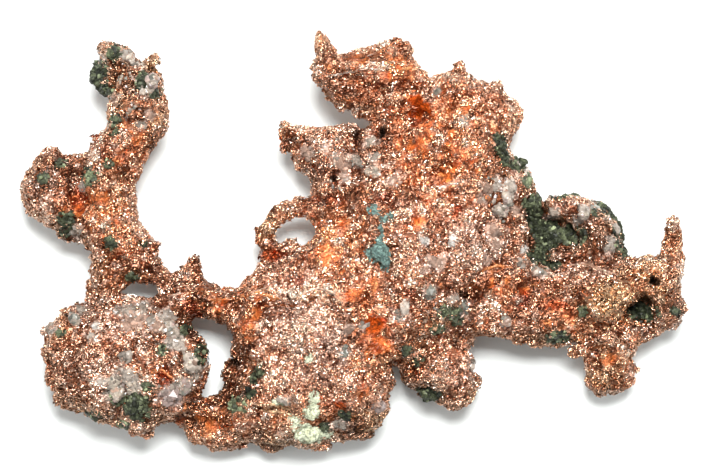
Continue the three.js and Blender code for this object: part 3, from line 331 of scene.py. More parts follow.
# Dark green chlorite crust: x, y, radius along x, radius along y, how pale it is.
GREEN_SPOTS = [
    (-42.1, 27.2, 1.4, 2.6, 0.1), (-40.9, 24.3, 1.3, 1.1, 0.2), (-39.6, 30.6, 1.4, 1.2, 0.2),
    (-38.8, 31.9, 0.9, 0.8, 0.1), (-34.8, 25.8, 0.9, 1.6, 0.2), (-33, 24.1, 1.1, 1, 0.2),
    (-43.5, 10, 1.6, 1.4, 0.4), (-51.1, 9.8, 0.9, 0.8, 0.3), (-48.5, 12.3, 1, 0.7, 0.3),
    (-40.3, 12.2, 0.7, 0.7, 0.3), (-47.6, 3.2, 1.3, 1.2, 0.2), (-47.8, 1.3, 1, 0.9, 0.1),
    (-40.1, -0.9, 0.9, 0.9, 0.2), (-35, -1.1, 0.7, 0.7, 0.2), (-36.9, -6.6, 0.9, 0.7, 0.2),
    (-39.2, 19.6, 1, 0.9, 0.3), (-39.7, 17.7, 0.8, 0.8, 0.6), (-35.4, -27.6, 2.1, 2.2, 0.35),
    (-39, -26.5, 1.2, 1, 0.4), (-33.7, -24.3, 0.9, 0.9, 0.3), (-43.2, -29.4, 1.7, 0.9, 0.2),
    (-37.9, -30.9, 1.2, 0.8, 0.3), (-28, -15.4, 0.9, 0.9, 0.2), (-31.5, -18.5, 0.9, 0.8, 0.4),
    (-25.2, -19.2, 0.9, 1.6, 0.15), (-48.3, -15.8, 0.8, 0.6, 0.3), (-19.3, -27.6, 1.5, 1.4, 0.7),
    (-17.1, -25.6, 0.8, 0.9, 0.1), (-15.5, -21.9, 0.8, 0.9, 0.2), (-16.4, -23.2, 0.7, 0.9, 0.15),
    (-4.8, -31.2, 0.9, 0.7, 0.2), (-1.5, -29.1, 1, 0.9, 0), (23.9, 15.6, 1.1, 1.7, 0.2),
    (24.8, 13.2, 0.9, 1.2, 0.2), (27.2, 12, 1.5, 0.9, 0.3), (29.3, 5.8, 1.6, 1.4, 0.2),
    (30, 2.7, 1.1, 2, 0.05), (32.1, 0.4, 2, 2, 0.3), (36.3, 0.4, 2.2, 1.6, 0.15),
    (30.4, -3.2, 2, 1.1, 0.15), (32.7, -4.5, 1.4, 0.8, 0.2), (33, 6.9, 1.6, 0.7, 0.15),
    (35.6, 7, 1.6, 0.5, 0.15), (41.2, 4.4, 2.2, 0.9, 0.25), (43.6, 1.4, 0.9, 1.6, 0.25),
    (44, -1, 1, 1.9, 0.1), (44.9, -3, 0.9, 0.7, 0.05), (37.7, -12.1, 0.8, 0.9, 0.2),
    (47.3, -12.4, 1.5, 1.7, 0.05), (49.1, -12.6, 1.3, 1.3, 0.2), (53.2, -12.1, 0.9, 0.7, 0.25),
    (33.7, -16.5, 1.9, 1, 0.3), (15.6, -12.1, 2, 1.1, 0.45), (16.8, -13.6, 0.9, 0.8, 0.3),
    (13.7, -15, 1.1, 0.8, 0.6), (8.5, -18.4, 0.9, 0.8, 0.3), (10.4, -20.2, 0.9, 0.9, 0.3),
    (12.2, -25.8, 2, 1.1, 0.2), (28.9, 9.4, 1.2, 1.2, 0.5),
]

# Small grains of quartz: x, y, radius along x, radius along y, kind of look.
QUARTZ_SPOTS = [
    (-34.3, 24.3, 0.8, 0.8, "grey"), (-39.7, 22.7, 0.9, 0.7, "pink"), (-33.5, 20.3, 0.7, 0.8, "pink"),
    (-37.6, 30.2, 1, 0.8, "white"), (-35.4, 29, 0.9, 0.8, "white"), (-37.2, -12, 1.2, 1, "grey"),
    (-35, -11.7, 1.1, 0.9, "grey"), (-36.5, -13.7, 1.9, 1.6, "pink"), (-42.9, -16.2, 0.7, 0.7, "white"),
    (-42.2, -14.7, 0.7, 0.6, "bright"), (-35.7, -24, 0.9, 0.8, "white"),
    (-30.1, -25.9, 1.8, 1.6, "lilac"), (-50.1, -15.1, 1.1, 0.9, "grey"), (-46.1, 1.4, 0.9, 0.8, "grey"),
    (-44.7, 8.6, 0.7, 0.7, "white"), (-7.7, 13.9, 0.9, 0.9, "pink"), (-1.6, 12.2, 1, 0.9, "pink"),
    (0.5, 12.4, 0.8, 0.8, "grey"), (-1.5, 10.2, 0.8, 0.8, "pink"), (6.4, 9.1, 1, 0.9, "pink"),
    (3.4, 13.4, 0.7, 0.6, "grey"), (2.8, 15.8, 0.8, 0.7, "cream"), (3.3, 11, 1, 0.9, "cream"),
    (17.9, 19.1, 0.6, 0.6, "grey"), (13.5, 24.1, 0.6, 0.5, "blue"), (23.9, 8.9, 0.9, 0.9, "white"),
    (21.9, 8.1, 0.8, 0.7, "pink"), (29.1, 10.8, 1.2, 1.3, "white"), (27.8, 12.6, 0.9, 0.8, "white"),
    (33, 4, 0.9, 0.9, "grey"), (12.5, -9.2, 0.8, 0.8, "blue"), (8.4, -11.3, 0.5, 1, "white"),
    (7, -12.8, 0.7, 0.7, "grey"), (1.5, -14.2, 0.6, 0.6, "grey"), (-0.9, -14.7, 0.8, 0.7, "pink"),
    (-1.6, -18.5, 0.8, 0.8, "blue"), (4, -27.9, 1.1, 1, "lilac"), (-2.3, -30.7, 1.2, 1, "grey"),
    (-11.8, -26.8, 1.2, 0.6, "white"), (43.5, 1.6, 0.9, 1, "white"), (42.1, -1.2, 0.9, 1.3, "grey"),
    (39.9, 5.2, 0.9, 0.6, "blue"), (17.9, -11.5, 0.8, 1.2, "blue"), (19.5, -20.7, 0.7, 1.1, "grey"),
    (31.4, -5.6, 0.8, 0.7, "grey"), (27.8, -4.2, 0.8, 0.7, "grey"), (-30.8, -13, 1, 1.2, "grey"),
    (-32.2, -14.8, 0.9, 0.8, "pink"), (-28.6, -17.6, 0.8, 1, "white"), (20.6, 6.2, 0.7, 0.7, "pink"),
    (26.8, 4.4, 0.8, 0.7, "pink"), (-4.8, 15, 0.7, 0.7, "pink"), (-3.2, 13.4, 0.6, 0.6, "grey"),
    (-35.2, 18.6, 0.6, 0.6, "grey"), (-41.6, 29.6, 0.6, 0.7, "grey"), (37, 2.9, 0.8, 0.6, "white"),
    (16.4, -9.9, 0.7, 0.6, "grey"), (-45.2, -11.9, 0.8, 0.6, "grey"), (-37.5, -22.6, 1.7, 1.1, "white"),
    (-36.2, -24.6, 1.3, 1, "cream"), (-41.6, -23.4, 1.5, 0.5, "white"), (-39.8, -26, 1.3, 0.8, "cream"),
    (-38.2, -12, 1.5, 0.9, "grey"), (-33.4, -13.6, 0.9, 0.8, "grey"), (-31.2, -13.6, 0.9, 1.6, "white"),
    (-29.4, -17, 1.3, 1.1, "white"), (-25.8, -21.6, 1.1, 1.4, "white"), (-28.6, -24.6, 1.5, 1.1, "grey"),
    (25.8, 8.2, 0.8, 1.4, "white"), (22.8, 0.8, 1, 1.3, "pink"), (23.4, -1, 0.8, 0.9, "pink"),
    (21.6, -3.9, 0.8, 0.9, "pink"), (13.2, -3.9, 1.5, 0.8, "pink"), (16.2, -0.5, 0.45, 1, "bright"),
    (11.5, -0.6, 0.8, 0.6, "bright"), (11.5, -5.3, 0.7, 0.5, "pink"), (28, -1.9, 0.8, 0.6, "bright"),
]

# Fields of scattered quartz chips: x, y, radius along x, radius along y.
QUARTZ_FIELDS = [
    (-4, 12, 4.5, 4), (24, 6.5, 2.6, 4), (-35.5, -13.5, 3.6, 2.8), (-31.5, -15, 2.6, 3.6),
    (-28, -21, 2, 2.6), (-29.8, -24.8, 2.6, 2.2), (-39, -24, 2.8, 2.6), (-36.5, 25, 2.6, 4),
    (-37.5, 20.5, 2.2, 1.6), (15, -12.5, 2.6, 2.2), (28.5, 11, 1.6, 1.8), (36.5, 4.2, 2.4, 1.4),
]

# Pale yellow-green crust: x, y, radius along x, radius along y.
PALE_SPOTS = [
    (-6.6, -26.6, 0.8, 1.5), (-7, -28.6, 1.2, 1.1), (-9.7, -29.8, 1, 0.8), (-8.8, -31.2, 1.5, 1),
    (-7.3, -32.8, 2.3, 1.3), (-5, -32.4, 1.5, 0.8), (-12.2, -27, 1.2, 0.45), (-7.3, -19.7, 0.8, 0.6),
]

# Blue-green chrysocolla: x, y, radius along x, radius along y.
BLUE_GREEN_SPOTS = [
    (3.9, -2.6, 1.8, 1.5), (5, -4.2, 0.8, 1.2), (2.5, -2.3, 0.8, 0.6), (4.2, -0.6, 0.7, 1.1),
    (3.2, 4.6, 1, 0.8), (5.2, 3.3, 1.3, 0.8), (4.3, 1.2, 0.5, 0.9),
]

# Folds of the copper: the line they follow, half-width and height. A groove's height is below zero.
FOLDS = [
    ([(-5, 26.4), (-1, 27.9), (3.5, 27.2), (9.8, 27.9)], 0.6, 0.8),
    ([(-3.2, 27.2), (-1.5, 26), (1.5, 25), (4, 23.6)], 0.9, -1.1),
    ([(4.5, 24.5), (8.5, 24.9), (13.8, 24.6)], 0.6, -0.9), ([(12.5, 25.7), (17.5, 25.9)], 0.5, 0.6),
    ([(-12, 18.5), (-7, 17.2), (-2, 17.6)], 0.8, 0.5), ([(-1.4, 23.8), (-0.4, 22.6)], 0.7, -1),
    ([(-0.2, 21.2), (1.6, 20.4), (3, 21.2)], 0.6, -0.8), ([(20.4, 20.6), (18.8, 19.6)], 0.5, -0.8),
    ([(-18.2, -9.4), (-14.5, -9), (-9.8, -9.4)], 0.6, 0.7),
    ([(-15.5, -11.3), (-11.5, -10.9), (-7.8, -10.6)], 0.5, -1),
    ([(-13.6, -12.6), (-11.4, -11.4)], 0.5, -0.9),
    ([(-8, -9.2), (-4.2, -8.3), (-2.4, -9.6), (-1.6, -11.4)], 0.5, 0.8),
    ([(-7.4, -10.2), (-4.4, -9.8), (-3.2, -11.2)], 0.5, -0.7),
    ([(-14.5, -33.4), (-11, -31.6), (-8.8, -30.2)], 0.5, 0.7), ([(-16, -27.2), (-11, -26.2)], 0.6, 0.5),
    ([(-16.2, -28.2), (-10.5, -28.6)], 0.5, -0.7), ([(1.4, -25.8), (3, -28.6)], 0.4, -1),
    ([(5, -20.5), (4.6, -22.6), (5.6, -24.5)], 0.6, -0.9),
    ([(-19.4, -19), (-17.4, -22.5), (-16.6, -24.5)], 0.8, -1), ([(12.2, 6.9), (17.4, 8.9)], 0.5, 0.8),
    ([(12.5, 6), (17.4, 7.9)], 0.4, -0.5), ([(5, 8), (5.6, 5.2)], 0.5, -0.9),
    ([(16.6, -8.6), (19.4, -9.8)], 0.8, -1.4), ([(18.4, -11), (19, -14)], 0.4, -0.8),
    ([(27.6, -6.5), (28.6, -9.5)], 0.5, -1), ([(-6, 6.6), (-1.4, 6.2)], 0.7, -0.9),
    ([(-3.5, 10.1), (-3.3, 9.2)], 0.6, -1.8), ([(4.4, 17.3), (4.5, 16.9)], 0.6, -1.6),
    ([(0.5, 17.2), (0.7, 16.8)], 0.6, -1.3), ([(8, 3.8), (14, 6.2)], 0.5, 0.4),
    ([(41.2, -4.8), (44.2, -6.4)], 0.5, -0.6), ([(49.6, -7), (49.6, -7.4)], 0.5, -1.3),
    ([(36.4, -9.3), (37.6, -12.6)], 0.5, -0.9), ([(39.3, -19), (41, -17.8), (42.4, -18.6)], 0.4, -0.7),
    ([(-45.7, 9.8), (-45.2, 5.6)], 0.7, -1.1), ([(-44.5, 13.8), (-45.4, 11)], 0.6, -0.9),
    ([(-29.5, -9), (-25, -11)], 0.8, -0.9), ([(-33, -5.6), (-31, -8)], 0.6, -0.8),
    ([(-38, -6.4), (-34, -6.6)], 0.7, -0.8),
    ([(-33.6, -22.4), (-31.4, -21.9), (-29.2, -23.8)], 0.4, -0.8),
    ([(-50.2, -23.2), (-48.6, -24.6)], 0.5, -0.6), ([(-41.2, 22.9), (-38.8, 22)], 0.5, -0.6),
    ([(8.6, -12.2), (13.6, -9.6)], 0.6, -0.7), ([(9, -16), (14, -17.6), (17.6, -16.6)], 0.7, -0.8),
    ([(21, -5.8), (25.6, -4.6)], 0.5, -0.6), ([(-3, -20.8), (0.6, -22.6)], 0.5, -0.6),
    ([(-6.8, -22.4), (-4.2, -21.6), (-2.6, -23.4)], 0.6, 0.6),
]

# Long thin ribs of copper on its surface: the line they follow, half-width in mm, colour.
RIBS = [
    ([(-18.6, -9.7), (-15.5, -9.1), (-13, -9.7), (-11, -10.1)], 0.45, "warm"),
    ([(-17.8, -10.4), (-14.5, -10), (-12, -10.6)], 0.3, "orange"),
    ([(-15, -11.3), (-11.5, -10.9), (-8, -11.2)], 0.28, "brown"),
    ([(-9.4, -9.7), (-7.4, -8.6), (-5.2, -8.3), (-3.2, -8.9), (-2.2, -10.3), (-2, -11.5)], 0.3, "pale"),
    ([(-8.2, -10.5), (-6, -9.5), (-4.2, -9.6), (-3.3, -10.7)], 0.25, "umber"),
    ([(3.3, -5.9), (3.6, -7.6), (3.2, -9.8)], 0.35, "warm"),
    ([(-16.2, -27.4), (-13, -27.2), (-9.6, -28.5)], 0.35, "tan"),
    ([(-15.6, -28.4), (-12.2, -28.6), (-9.8, -29.4)], 0.3, "tan"),
    ([(-14.6, -33.5), (-12.2, -32.2), (-9.6, -31)], 0.3, "pale"),
    ([(-13.8, -31.2), (-11.2, -30.2)], 0.3, "tan"),
    ([(1.2, -31.9), (3.2, -31.3), (5, -30.3)], 0.35, "tan"),
    ([(1.6, -30.8), (3.6, -30.2)], 0.28, "brown"),
    ([(-4.8, 26.4), (-1.4, 27.1), (2, 27.7), (5, 27.4)], 0.22, "silvery"),
    ([(6.4, 27.3), (9.8, 27.9)], 0.3, "warm"), ([(7.4, 33.2), (8.6, 32.2), (9.8, 31.1)], 0.25, "umber"),
    ([(12.6, 25.6), (17, 25.9)], 0.22, "silvery"),
    ([(12.3, 7.2), (14.6, 8.4), (17.3, 9)], 0.25, "silvery"),
    ([(35.6, -4.6), (38.6, -4.3), (41, -5.4), (43.8, -6.2)], 0.28, "pale"),
    ([(39.2, -19), (41, -17.8), (42.5, -18.6)], 0.25, "umber"),
    ([(20.4, -5.6), (23.5, -4.6), (26.2, -5)], 0.3, "warm"),
    ([(-40.4, -10.6), (-38, -10.4)], 0.25, "rust"), ([(28.2, -7.8), (31.8, -8.3)], 0.22, "umber"),
    ([(-33.6, -22.2), (-31.4, -21.7), (-29.2, -23.4)], 0.25, "warm"),
    ([(-12.4, 18.6), (-8, 17.6), (-3, 17.9)], 0.22, "pale"),
    ([(-3.6, 24.2), (-1, 22.4), (2.2, 22.6)], 0.25, "brown"), ([(4, 30.4), (6.2, 31.8)], 0.22, "warm"),
    ([(-30.8, -9.8), (-28, -9.2)], 0.28, "pale"),
    ([(-6, -20.4), (-4, -21.4), (-2.4, -23.2)], 0.25, "brown"),
    ([(13.4, -22.6), (15.6, -23.4), (17.8, -22.8)], 0.25, "pale"),
]

# ---- The copper's skin ----

rng = np.random.default_rng(7)


def placed(x, y, z=0.0):
    """A place given in millimetres from the middle of the outline, in the row frame."""
    return np.array([x * MM + MIDDLE[0], y * MM + MIDDLE[1], z * MM])


def rough_copper():
    """The CAD copper with its grains and twigs, as one closed skin of small, even triangles."""
    skin = add_object("skin", nodes["copper_mass"].data.copy())
    grown = bmesh.new()
    for node in nodes.values():
        grown.from_mesh(node.data)
    ball, faces = icosphere(2)
    for start, end, start_radius, end_radius in TWIGS:
        for share in np.linspace(0, 1, TWIG_BALLS):
            middle = placed(*start) * (1 - share) + placed(*end) * share
            radius = (start_radius * (1 - share) + end_radius * share) * MM
            verts = [grown.verts.new(middle + radius * v) for v in ball]
            for face in faces:
                grown.faces.new([verts[i] for i in face])
    grown.to_mesh(skin.data)
    grown.free()
    remesh = skin.modifiers.new("remesh", "REMESH")
    remesh.mode = "VOXEL"
    remesh.voxel_size = SKIN_CELL * 1
    vertices, triangles, normals = arrays_of(skin)
    bpy.data.objects.remove(skin)
    return vertices, triangles, normals


def zone_weight(points, x, y, rx, ry):
    """1 in the middle of an oval zone seen from above, fading outwards."""
    away = (points[:, :2] - placed(x, y)[:2]) / (np.array([rx, ry]) * MM)
    return np.exp(-(away[:, 0] ** 2 + away[:, 1] ** 2))


def away_from(line, points):
    """Distance of each point, seen from above, from a line through the given corners."""
    nearest = np.full(len(points), np.inf)
    for start, end in zip(line[:-1], line[1:]):
        a, b = placed(*start)[:2], placed(*end)[:2]
        along = np.clip((points[:, :2] - a) @ (b - a) / ((b - a) @ (b - a)), 0, 1)
        away = points[:, :2] - a - along[:, None] * (b - a)
        nearest = np.minimum(nearest, np.linalg.norm(away, axis=1))
    return nearest


def mineral_cover(points, spots):
    """How far each point lies under a crust or a cluster of grains, from 0 to 1, with ragged borders."""
    weight = np.zeros(len(points))
    for spot in spots:
        x, y, rx, ry = spot[:4]
        weight = np.maximum(weight, zone_weight(points, x, y, rx * SPOT_REACH, ry * SPOT_REACH))
    return np.clip((layers(points, weight, (0.25, 0.8, 191)) - 0.3) * 4.0, 0, 1)


def looking_up(normals):
    """1 where the surface looks up, fading to 0 on its steep and lower sides."""
    return np.clip(0.35 + 2.2 * normals[:, 2], 0, 1)


def grain_boxes():
    """Middle and half-size of each grain in the copper."""
    boxes = []
    for name in nodes:
        if name != "copper_mass":
            grain = np.array([v.co[:] for v in nodes[name].data.vertices])
            boxes.append(((grain.max(axis=0) + grain.min(axis=0)) / 2, np.ptp(grain, axis=0) / 2))
    return boxes


skin_points, skin_faces, skin_normals = rough_copper()
in_grain = np.zeros(len(skin_points))
for middle, half in grain_boxes():
    in_grain = np.maximum(in_grain, np.clip(2 - np.sum(((skin_points - middle) / half) ** 2, axis=1), 0, 1))
relief = -SKIN_INSET - GRAIN_HOLLOW * in_grain
for number, (size, height) in enumerate(SKIN_ROUGHNESS):
    relief += height * billow(skin_points, size * MM, 11 + number)
for line, half_width, height in FOLDS:
    away = layers(skin_points, away_from(line, skin_points), (0.25 * MM, 1.6, 17))
    fade = np.exp(-((away / (FOLD_SPREAD * half_width * MM)) ** 2))
    relief += FOLD_DEPTH * height * fade * np.clip(skin_normals[:, 2] * 2, 0, 1)
top_side = np.clip(skin_normals[:, 2] * 1.5 + 1.2, 0.35, 1.0)
skin_points += skin_normals * (relief * top_side * MM)[:, None]
skin_points += rng.normal(scale=SKIN_GRAIN * MM, size=skin_points.shape)
skin_points = above_floor(skin_points)


# Copper colours by name. Three of them stand for painted shade: the near-black of small holes, the darkest
# brown of hollows and the dark brown of sides turned from the key light.
COPPER_COLORS = {name: np.array(color) for name, color in {
    "base": (0.74, 0.43, 0.29), "pale": (0.94, 0.66, 0.52), "silvery": (0.99, 0.83, 0.72),
    "orange": (0.68, 0.195, 0.042), "rust": (0.42, 0.078, 0.012), "red": (0.34, 0.050, 0.012),
    "tan": (0.74, 0.50, 0.31), "brown": (0.50, 0.19, 0.085), "warm": (0.87, 0.39, 0.175),
    "umber": (0.30, 0.115, 0.048), "olive": (0.30, 0.25, 0.17), "gold": (0.74, 0.46, 0.25),
    "rose": (0.96, 0.70, 0.58), "hollow_shade": (0.16, 0.045, 0.018), "side_shade": (0.32, 0.165, 0.085),
    "film": (0.80, 0.63, 0.54), "pit": (0.03, 0.02, 0.015),
}.items()}


def zone_share(points, kind, reach=1.0, most=1.0):
    """How far each point lies in the zones of a kind, from 0 to 1, with ragged borders."""
    share = np.zeros(len(points))
    ragged = layers(points, 0, (0.55, 1.7, 171), (0.35, 0.6, 172))
    for x, y, rx, ry, strength in ZONES[kind]:
        weight = zone_weight(points, x, y, rx * reach, ry * reach) + 0.9 * ragged - 0.4
        share = np.maximum(share, most * strength * np.clip(weight * ZONE_SHARPNESS, 0, 1))
    return share


def orange_share(points):
    """How far each point lies in the orange zones of every kind."""
    return np.maximum.reduce([zone_share(points, kind, *scale) for kind, scale in ORANGE_KINDS.items()])


def tone_share(points, kind):
    """How far each point takes up a broad tone, from 0 to 1, with soft borders."""
    share = np.zeros(len(points))
    for x, y, rx, ry, strength in TONES[kind]:
        share = np.maximum(share, strength * zone_weight(points, x, y, rx, ry))
    return np.clip(share * layers(points, 1, (0.7, 2.6, 181), (0.4, 1.1, 182)), 0, 1)


def patches(points, size, seed, level, sharpness=6.0):
    """Ragged patches about size across, fewer of them at a higher level: 0 outside them, 1 inside."""
    field = layers(points, 0, (1, size, seed), (0.45, 0.45 * size, seed + 1))
    return np.clip((field - level) * sharpness, 0, 1)


def film_share(points):
    """A thin film of quartz over the copper round the grains of quartz."""
    share = np.zeros(len(points))
    for x, y, rx, ry, _ in QUARTZ_SPOTS:
        share = np.maximum(share, zone_weight(points, x, y, rx * 1.6, ry * 1.6))
    return np.clip((layers(points, share, (0.6, 0.9, 221)) - 0.35) * 3.0, 0, 1)


def small_windows(points):
    """Small bare windows of orange copper, most of them where the copper is warm."""
    return patches(points, 1.2, 202, 0.32) * np.clip(0.2 + 1.7 * tone_share(points, "warm"), 0, 1)


def mix(color, other, share):
    """Turns each colour towards one copper colour by its share."""
    color += (COPPER_COLORS[other] - color) * share[:, None]


def copper_color(points, normals, cavity, spread=0.14):
    """Base colour at each point, and how matt it is.

    It is paler where the copper stands out and browner where it lies low, which is painted shade in the
    hollows. Sides that face down or away from the key light take painted shade, broad areas take painted
    light and shade, and the rest is as the zones say.
    """
    count = len(points)
    # How far each point faces down or away from the key light, for the painted shade on those sides.
    side = np.clip(0.9 - 1.5 * normals[:, 2] - 0.5 * normals[:, 1], 0, 1)
    color = np.tile(COPPER_COLORS["base"], (count, 1))
    windows = small_windows(points)
    orange = orange_share(points)
    shade = layers(points, 0.5, (0.5, 5, 31), (0.25, 1.6, 32))
    mix(color, "pale", 0.5 * np.clip(shade, 0, 1))
    for kind in ("rose", "warm", "gold", "olive", "umber"):
        mix(color, kind, tone_share(points, kind))
    mix(color, "silvery", 0.6 * patches(points, 1.3, 36, 0.2, 3.0))
    mix(color, "brown", 0.35 * patches(points, 1.7, 39, 0.25, 3.0))
    # Painted shade in the hollows: browner where the copper lies low, and darkest brown where it lies lowest.
    mix(color, "brown", 0.5 * np.clip(cavity, 0, 1))
    mix(color, "hollow_shade", 0.8 * np.clip(cavity * 2.2 - 1.2, 0, 1))
    film = film_share(points) * looking_up(normals)
    mix(color, "film", 0.6 * film)
    # Painted shade on the sides that face down or away from the key light.
    mix(color, "side_shade", 0.6 * side)
    rusty = patches(points, 2.0, 207, 0.1, 2.0)[:, None]
    vivid = COPPER_COLORS["orange"] * (1 - rusty) + COPPER_COLORS["rust"] * rusty
    vivid *= np.clip(layers(points, 1, (0.5, 0.7, 208)), 0.5, 1.5)[:, None]
    for share in (0.65 * windows, 0.7 * orange):
        color += (vivid - color) * share[:, None]
    # Zone colours; the pit zones are painted shade, near-black in the holes that the folds cut.
    for kind, most in (("pale", 1.0), ("tan", 0.6), ("red", 0.9), ("rust", 1.0), ("pit", 1.0)):
        mix(color, kind, most * zone_share(points, kind))
    # Painted light and painted shade: broad areas are made lighter or darker by the light and shade tones.
    color *= (1 + 0.6 * tone_share(points, "light") - 0.55 * tone_share(points, "shade"))[:, None]
    color *= rng.uniform(1 - spread, 1 + spread, size=(count, 1))
    color /= np.maximum(color.max(axis=1, keepdims=True), 1)
    matt = np.maximum.reduce([windows, orange, zone_share(points, "rust"), 0.6 * film])
    return np.clip(np.column_stack([color, matt]), 0.0, 1.0)


SHINY_SKIN = 0.86  # brightness of the skin between its crystals, where it isn't matt
# Painted shade: the copper skin under the green crust is darkened, so the gaps between the green chips read
# dark.
GREEN_SHADE = 0.7  # how much darker the skin is under the green crust
LEAST_MATT = 0.2  # how matt the skin is at least, from 0 to 1
# How hollow each point of the skin lies, which sets the painted shade in the hollows.
skin_cavity = np.clip(0.55 - relief * 1.1, 0, 1)
skin_tint = copper_color(skin_points, skin_normals, skin_cavity)
skin_tint[:, :3] *= SHINY_SKIN + (1 - SHINY_SKIN) * skin_tint[:, 3:]
# Painted shade under the green crust, on the faces that look up.
under_green = mineral_cover(skin_points, GREEN_SPOTS) * looking_up(skin_normals)
skin_tint[:, :3] *= 1 - GREEN_SHADE * under_green[:, None]
skin_tint[:, 3] = np.maximum(skin_tint[:, 3], LEAST_MATT)
skin = make_object("copper_skin", skin_points, skin_faces, skin_tint)
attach(skin, "root")
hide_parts("copper_mass")

# ---- Crystals over the skin ----

corners = skin_points[skin_faces]
across = np.cross(corners[:, 1] - corners[:, 0], corners[:, 2] - corners[:, 0])
areas = np.linalg.norm(across, axis=1) / 2
face_normals = unit(across)
face_cavity = skin_cavity[skin_faces].mean(axis=1)

DROP_HEIGHT = 40  # mm, above the whole nugget
tree = BVHTree.FromPolygons([Vector(p) for p in skin_points], skin_faces.tolist())


def drop(x, y):
    """The point of the skin under a place seen from above, and its normal."""
    hit, normal, _, _ = tree.ray_cast(Vector(placed(x, y, DROP_HEIGHT)), Vector((0, 0, -1)))
    return (np.array(hit), np.array(normal)) if hit else (None, None)


def scatter(count, weights, generator):
    """Random places on the skin, more of them where the weight is higher."""
    chosen = generator.choice(len(skin_faces), size=count, p=weights / weights.sum())
    u, v = generator.random((2, count))
    flip = u + v > 1
    u[flip], v[flip] = 1 - u[flip], 1 - v[flip]
    a, b, c = corners[chosen].transpose(1, 0, 2)
    return a + u[:, None] * (b - a) + v[:, None] * (c - a), face_normals[chosen], chosen


OCTAHEDRON = np.array([[1, 0, 0], [-1, 0, 0], [0, 1, 0], [0, -1, 0], [0, 0, 1], [0, 0, -1]], float)
OCTAHEDRON_FACES = np.array([
    [0, 2, 4], [2, 1, 4], [1, 3, 4], [3, 0, 4], [2, 0, 5], [1, 2, 5], [3, 1, 5], [0, 3, 5],
])


def many(shapes, shape_faces, places, turns):
    """A shape at each place, turned, all as one mesh that stays above the floor."""
    count, corner_count = len(places), shapes.shape[1]
    points = np.einsum("nij,nvj->nvi", turns, shapes) + places[:, None, :]
    faces = shape_faces[None] + (np.arange(count) * corner_count)[:, None, None]
    return above_floor(points.reshape(-1, 3)), faces.reshape(-1, 3)


def spindles(axes, places, turns):
    """Octahedra stretched by their axes."""
    return many(OCTAHEDRON[None] * axes[:, None, :], OCTAHEDRON_FACES, places, turns)


centers = corners.mean(axis=1)
bareness = np.ones(len(centers))  # how far each face may take crystals, from 0 to 1
for kind, most in (("orange", 0.7), ("red", 0.7), ("rust", 0.85), ("pit", 0.95)):
    bareness *= 1 - most * zone_share(centers, kind)
bareness *= 1 - 0.75 * small_windows(centers)
bareness *= 1 - 0.8 * in_grain[skin_faces].mean(axis=1)
under_minerals = mineral_cover(centers, GREEN_SPOTS + QUARTZ_SPOTS + PALE_SPOTS + BLUE_GREEN_SPOTS)
bareness *= 1 - 0.92 * under_minerals * looking_up(face_normals)


def surface_flow(places, normals, generator):
    """A direction along the surface at each place, which turns slowly from place to place."""
    angle = layers(places, 0.6, (1.7, 5, 231)) + generator.normal(scale=0.5, size=len(places))
    flow = np.column_stack([np.cos(angle), np.sin(angle), np.zeros(len(places))])
    along = unit(flow - normals * np.sum(flow * normals, axis=1, keepdims=True))
    return unit(along + normals * generator.normal(scale=0.3, size=(len(places), 1)))


def sprinkle(count, seed, size_range, power, least, in_hollows=False):
    """A generator, and places, normals, hollowness and sizes for so many crystals on the skin.

    Small crystals are the more common the higher the power is. Faces that look down take the least.
    """
    generator = np.random.default_rng(seed)
    count //= 1
    weights = areas * np.clip(face_normals[:, 2] * 1.2 + 0.9, least, 1.6)
    if not in_hollows:
        weights *= np.clip(1.4 - 1.25 * face_cavity, 0.08, 1.2)
    places, normals, chosen = scatter(count, weights * bareness, generator)
    small, large = size_range
    sizes = (small + (large - small) * generator.random(count) ** power) * MM
    return generator, places, normals, face_cavity[chosen], sizes


def crust_piece(name, points, faces, tint):
    """A piece of the copper's crust, with one tint for each crystal in it."""
    tints = np.repeat(np.clip(tint, 0, 1), len(points) // len(tint), axis=0)
    obj = make_object(name, points, faces, tints)
    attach(obj, "root")
    return obj


def copper_needles():
    """Slender crystals lying along the surface, pointed at both ends."""
    generator, places, normals, cavity, length = sprinkle(NEEDLES, 102, NEEDLE_SIZE, 1.6, 0.18)
    count = len(places)
    along = surface_flow(places, normals, generator)
    side = unit(np.cross(along, normals))
    turns = np.stack([along, side, np.cross(along, side)], axis=2)
    slim = generator.uniform(0.07, 0.15, size=(count, 2)) * MM
    places = places + normals * generator.uniform(0.1, 0.32, size=(count, 1)) * MM
    points, faces = spindles(np.column_stack([length, slim]), places, turns)
    tint = copper_color(places, normals, cavity * 0.3, CRYSTAL_SPREAD)
    tint[:, :3] *= np.where(generator.random(count) < DARK_CRYSTALS, 0.5, 1.06)[:, None]
    return crust_piece("copper_needles", points, faces, tint)


def copper_crystals():
    """Blocky crystals all over the skin, turned every way."""
    generator, places, normals, cavity, size = sprinkle(CRYSTALS, 101, CRYSTAL_SIZE, 2.2, 0.18)
    count = len(places)
    stretch = generator.uniform(0.55, 1.5, size=(count, 3))
    places = places + normals * (size * generator.uniform(-0.1, 0.55, count))[:, None]
    points, faces = spindles(size[:, None] * stretch, places, random_turns(count, generator))
    tint = copper_color(places, normals, cavity * 0.55, CRYSTAL_SPREAD)
    tint[:, :3] *= np.where(generator.random(count) < DARK_CRYSTALS, 0.45, 1.0)[:, None]
    return crust_piece("copper_crystals", points, faces, tint)


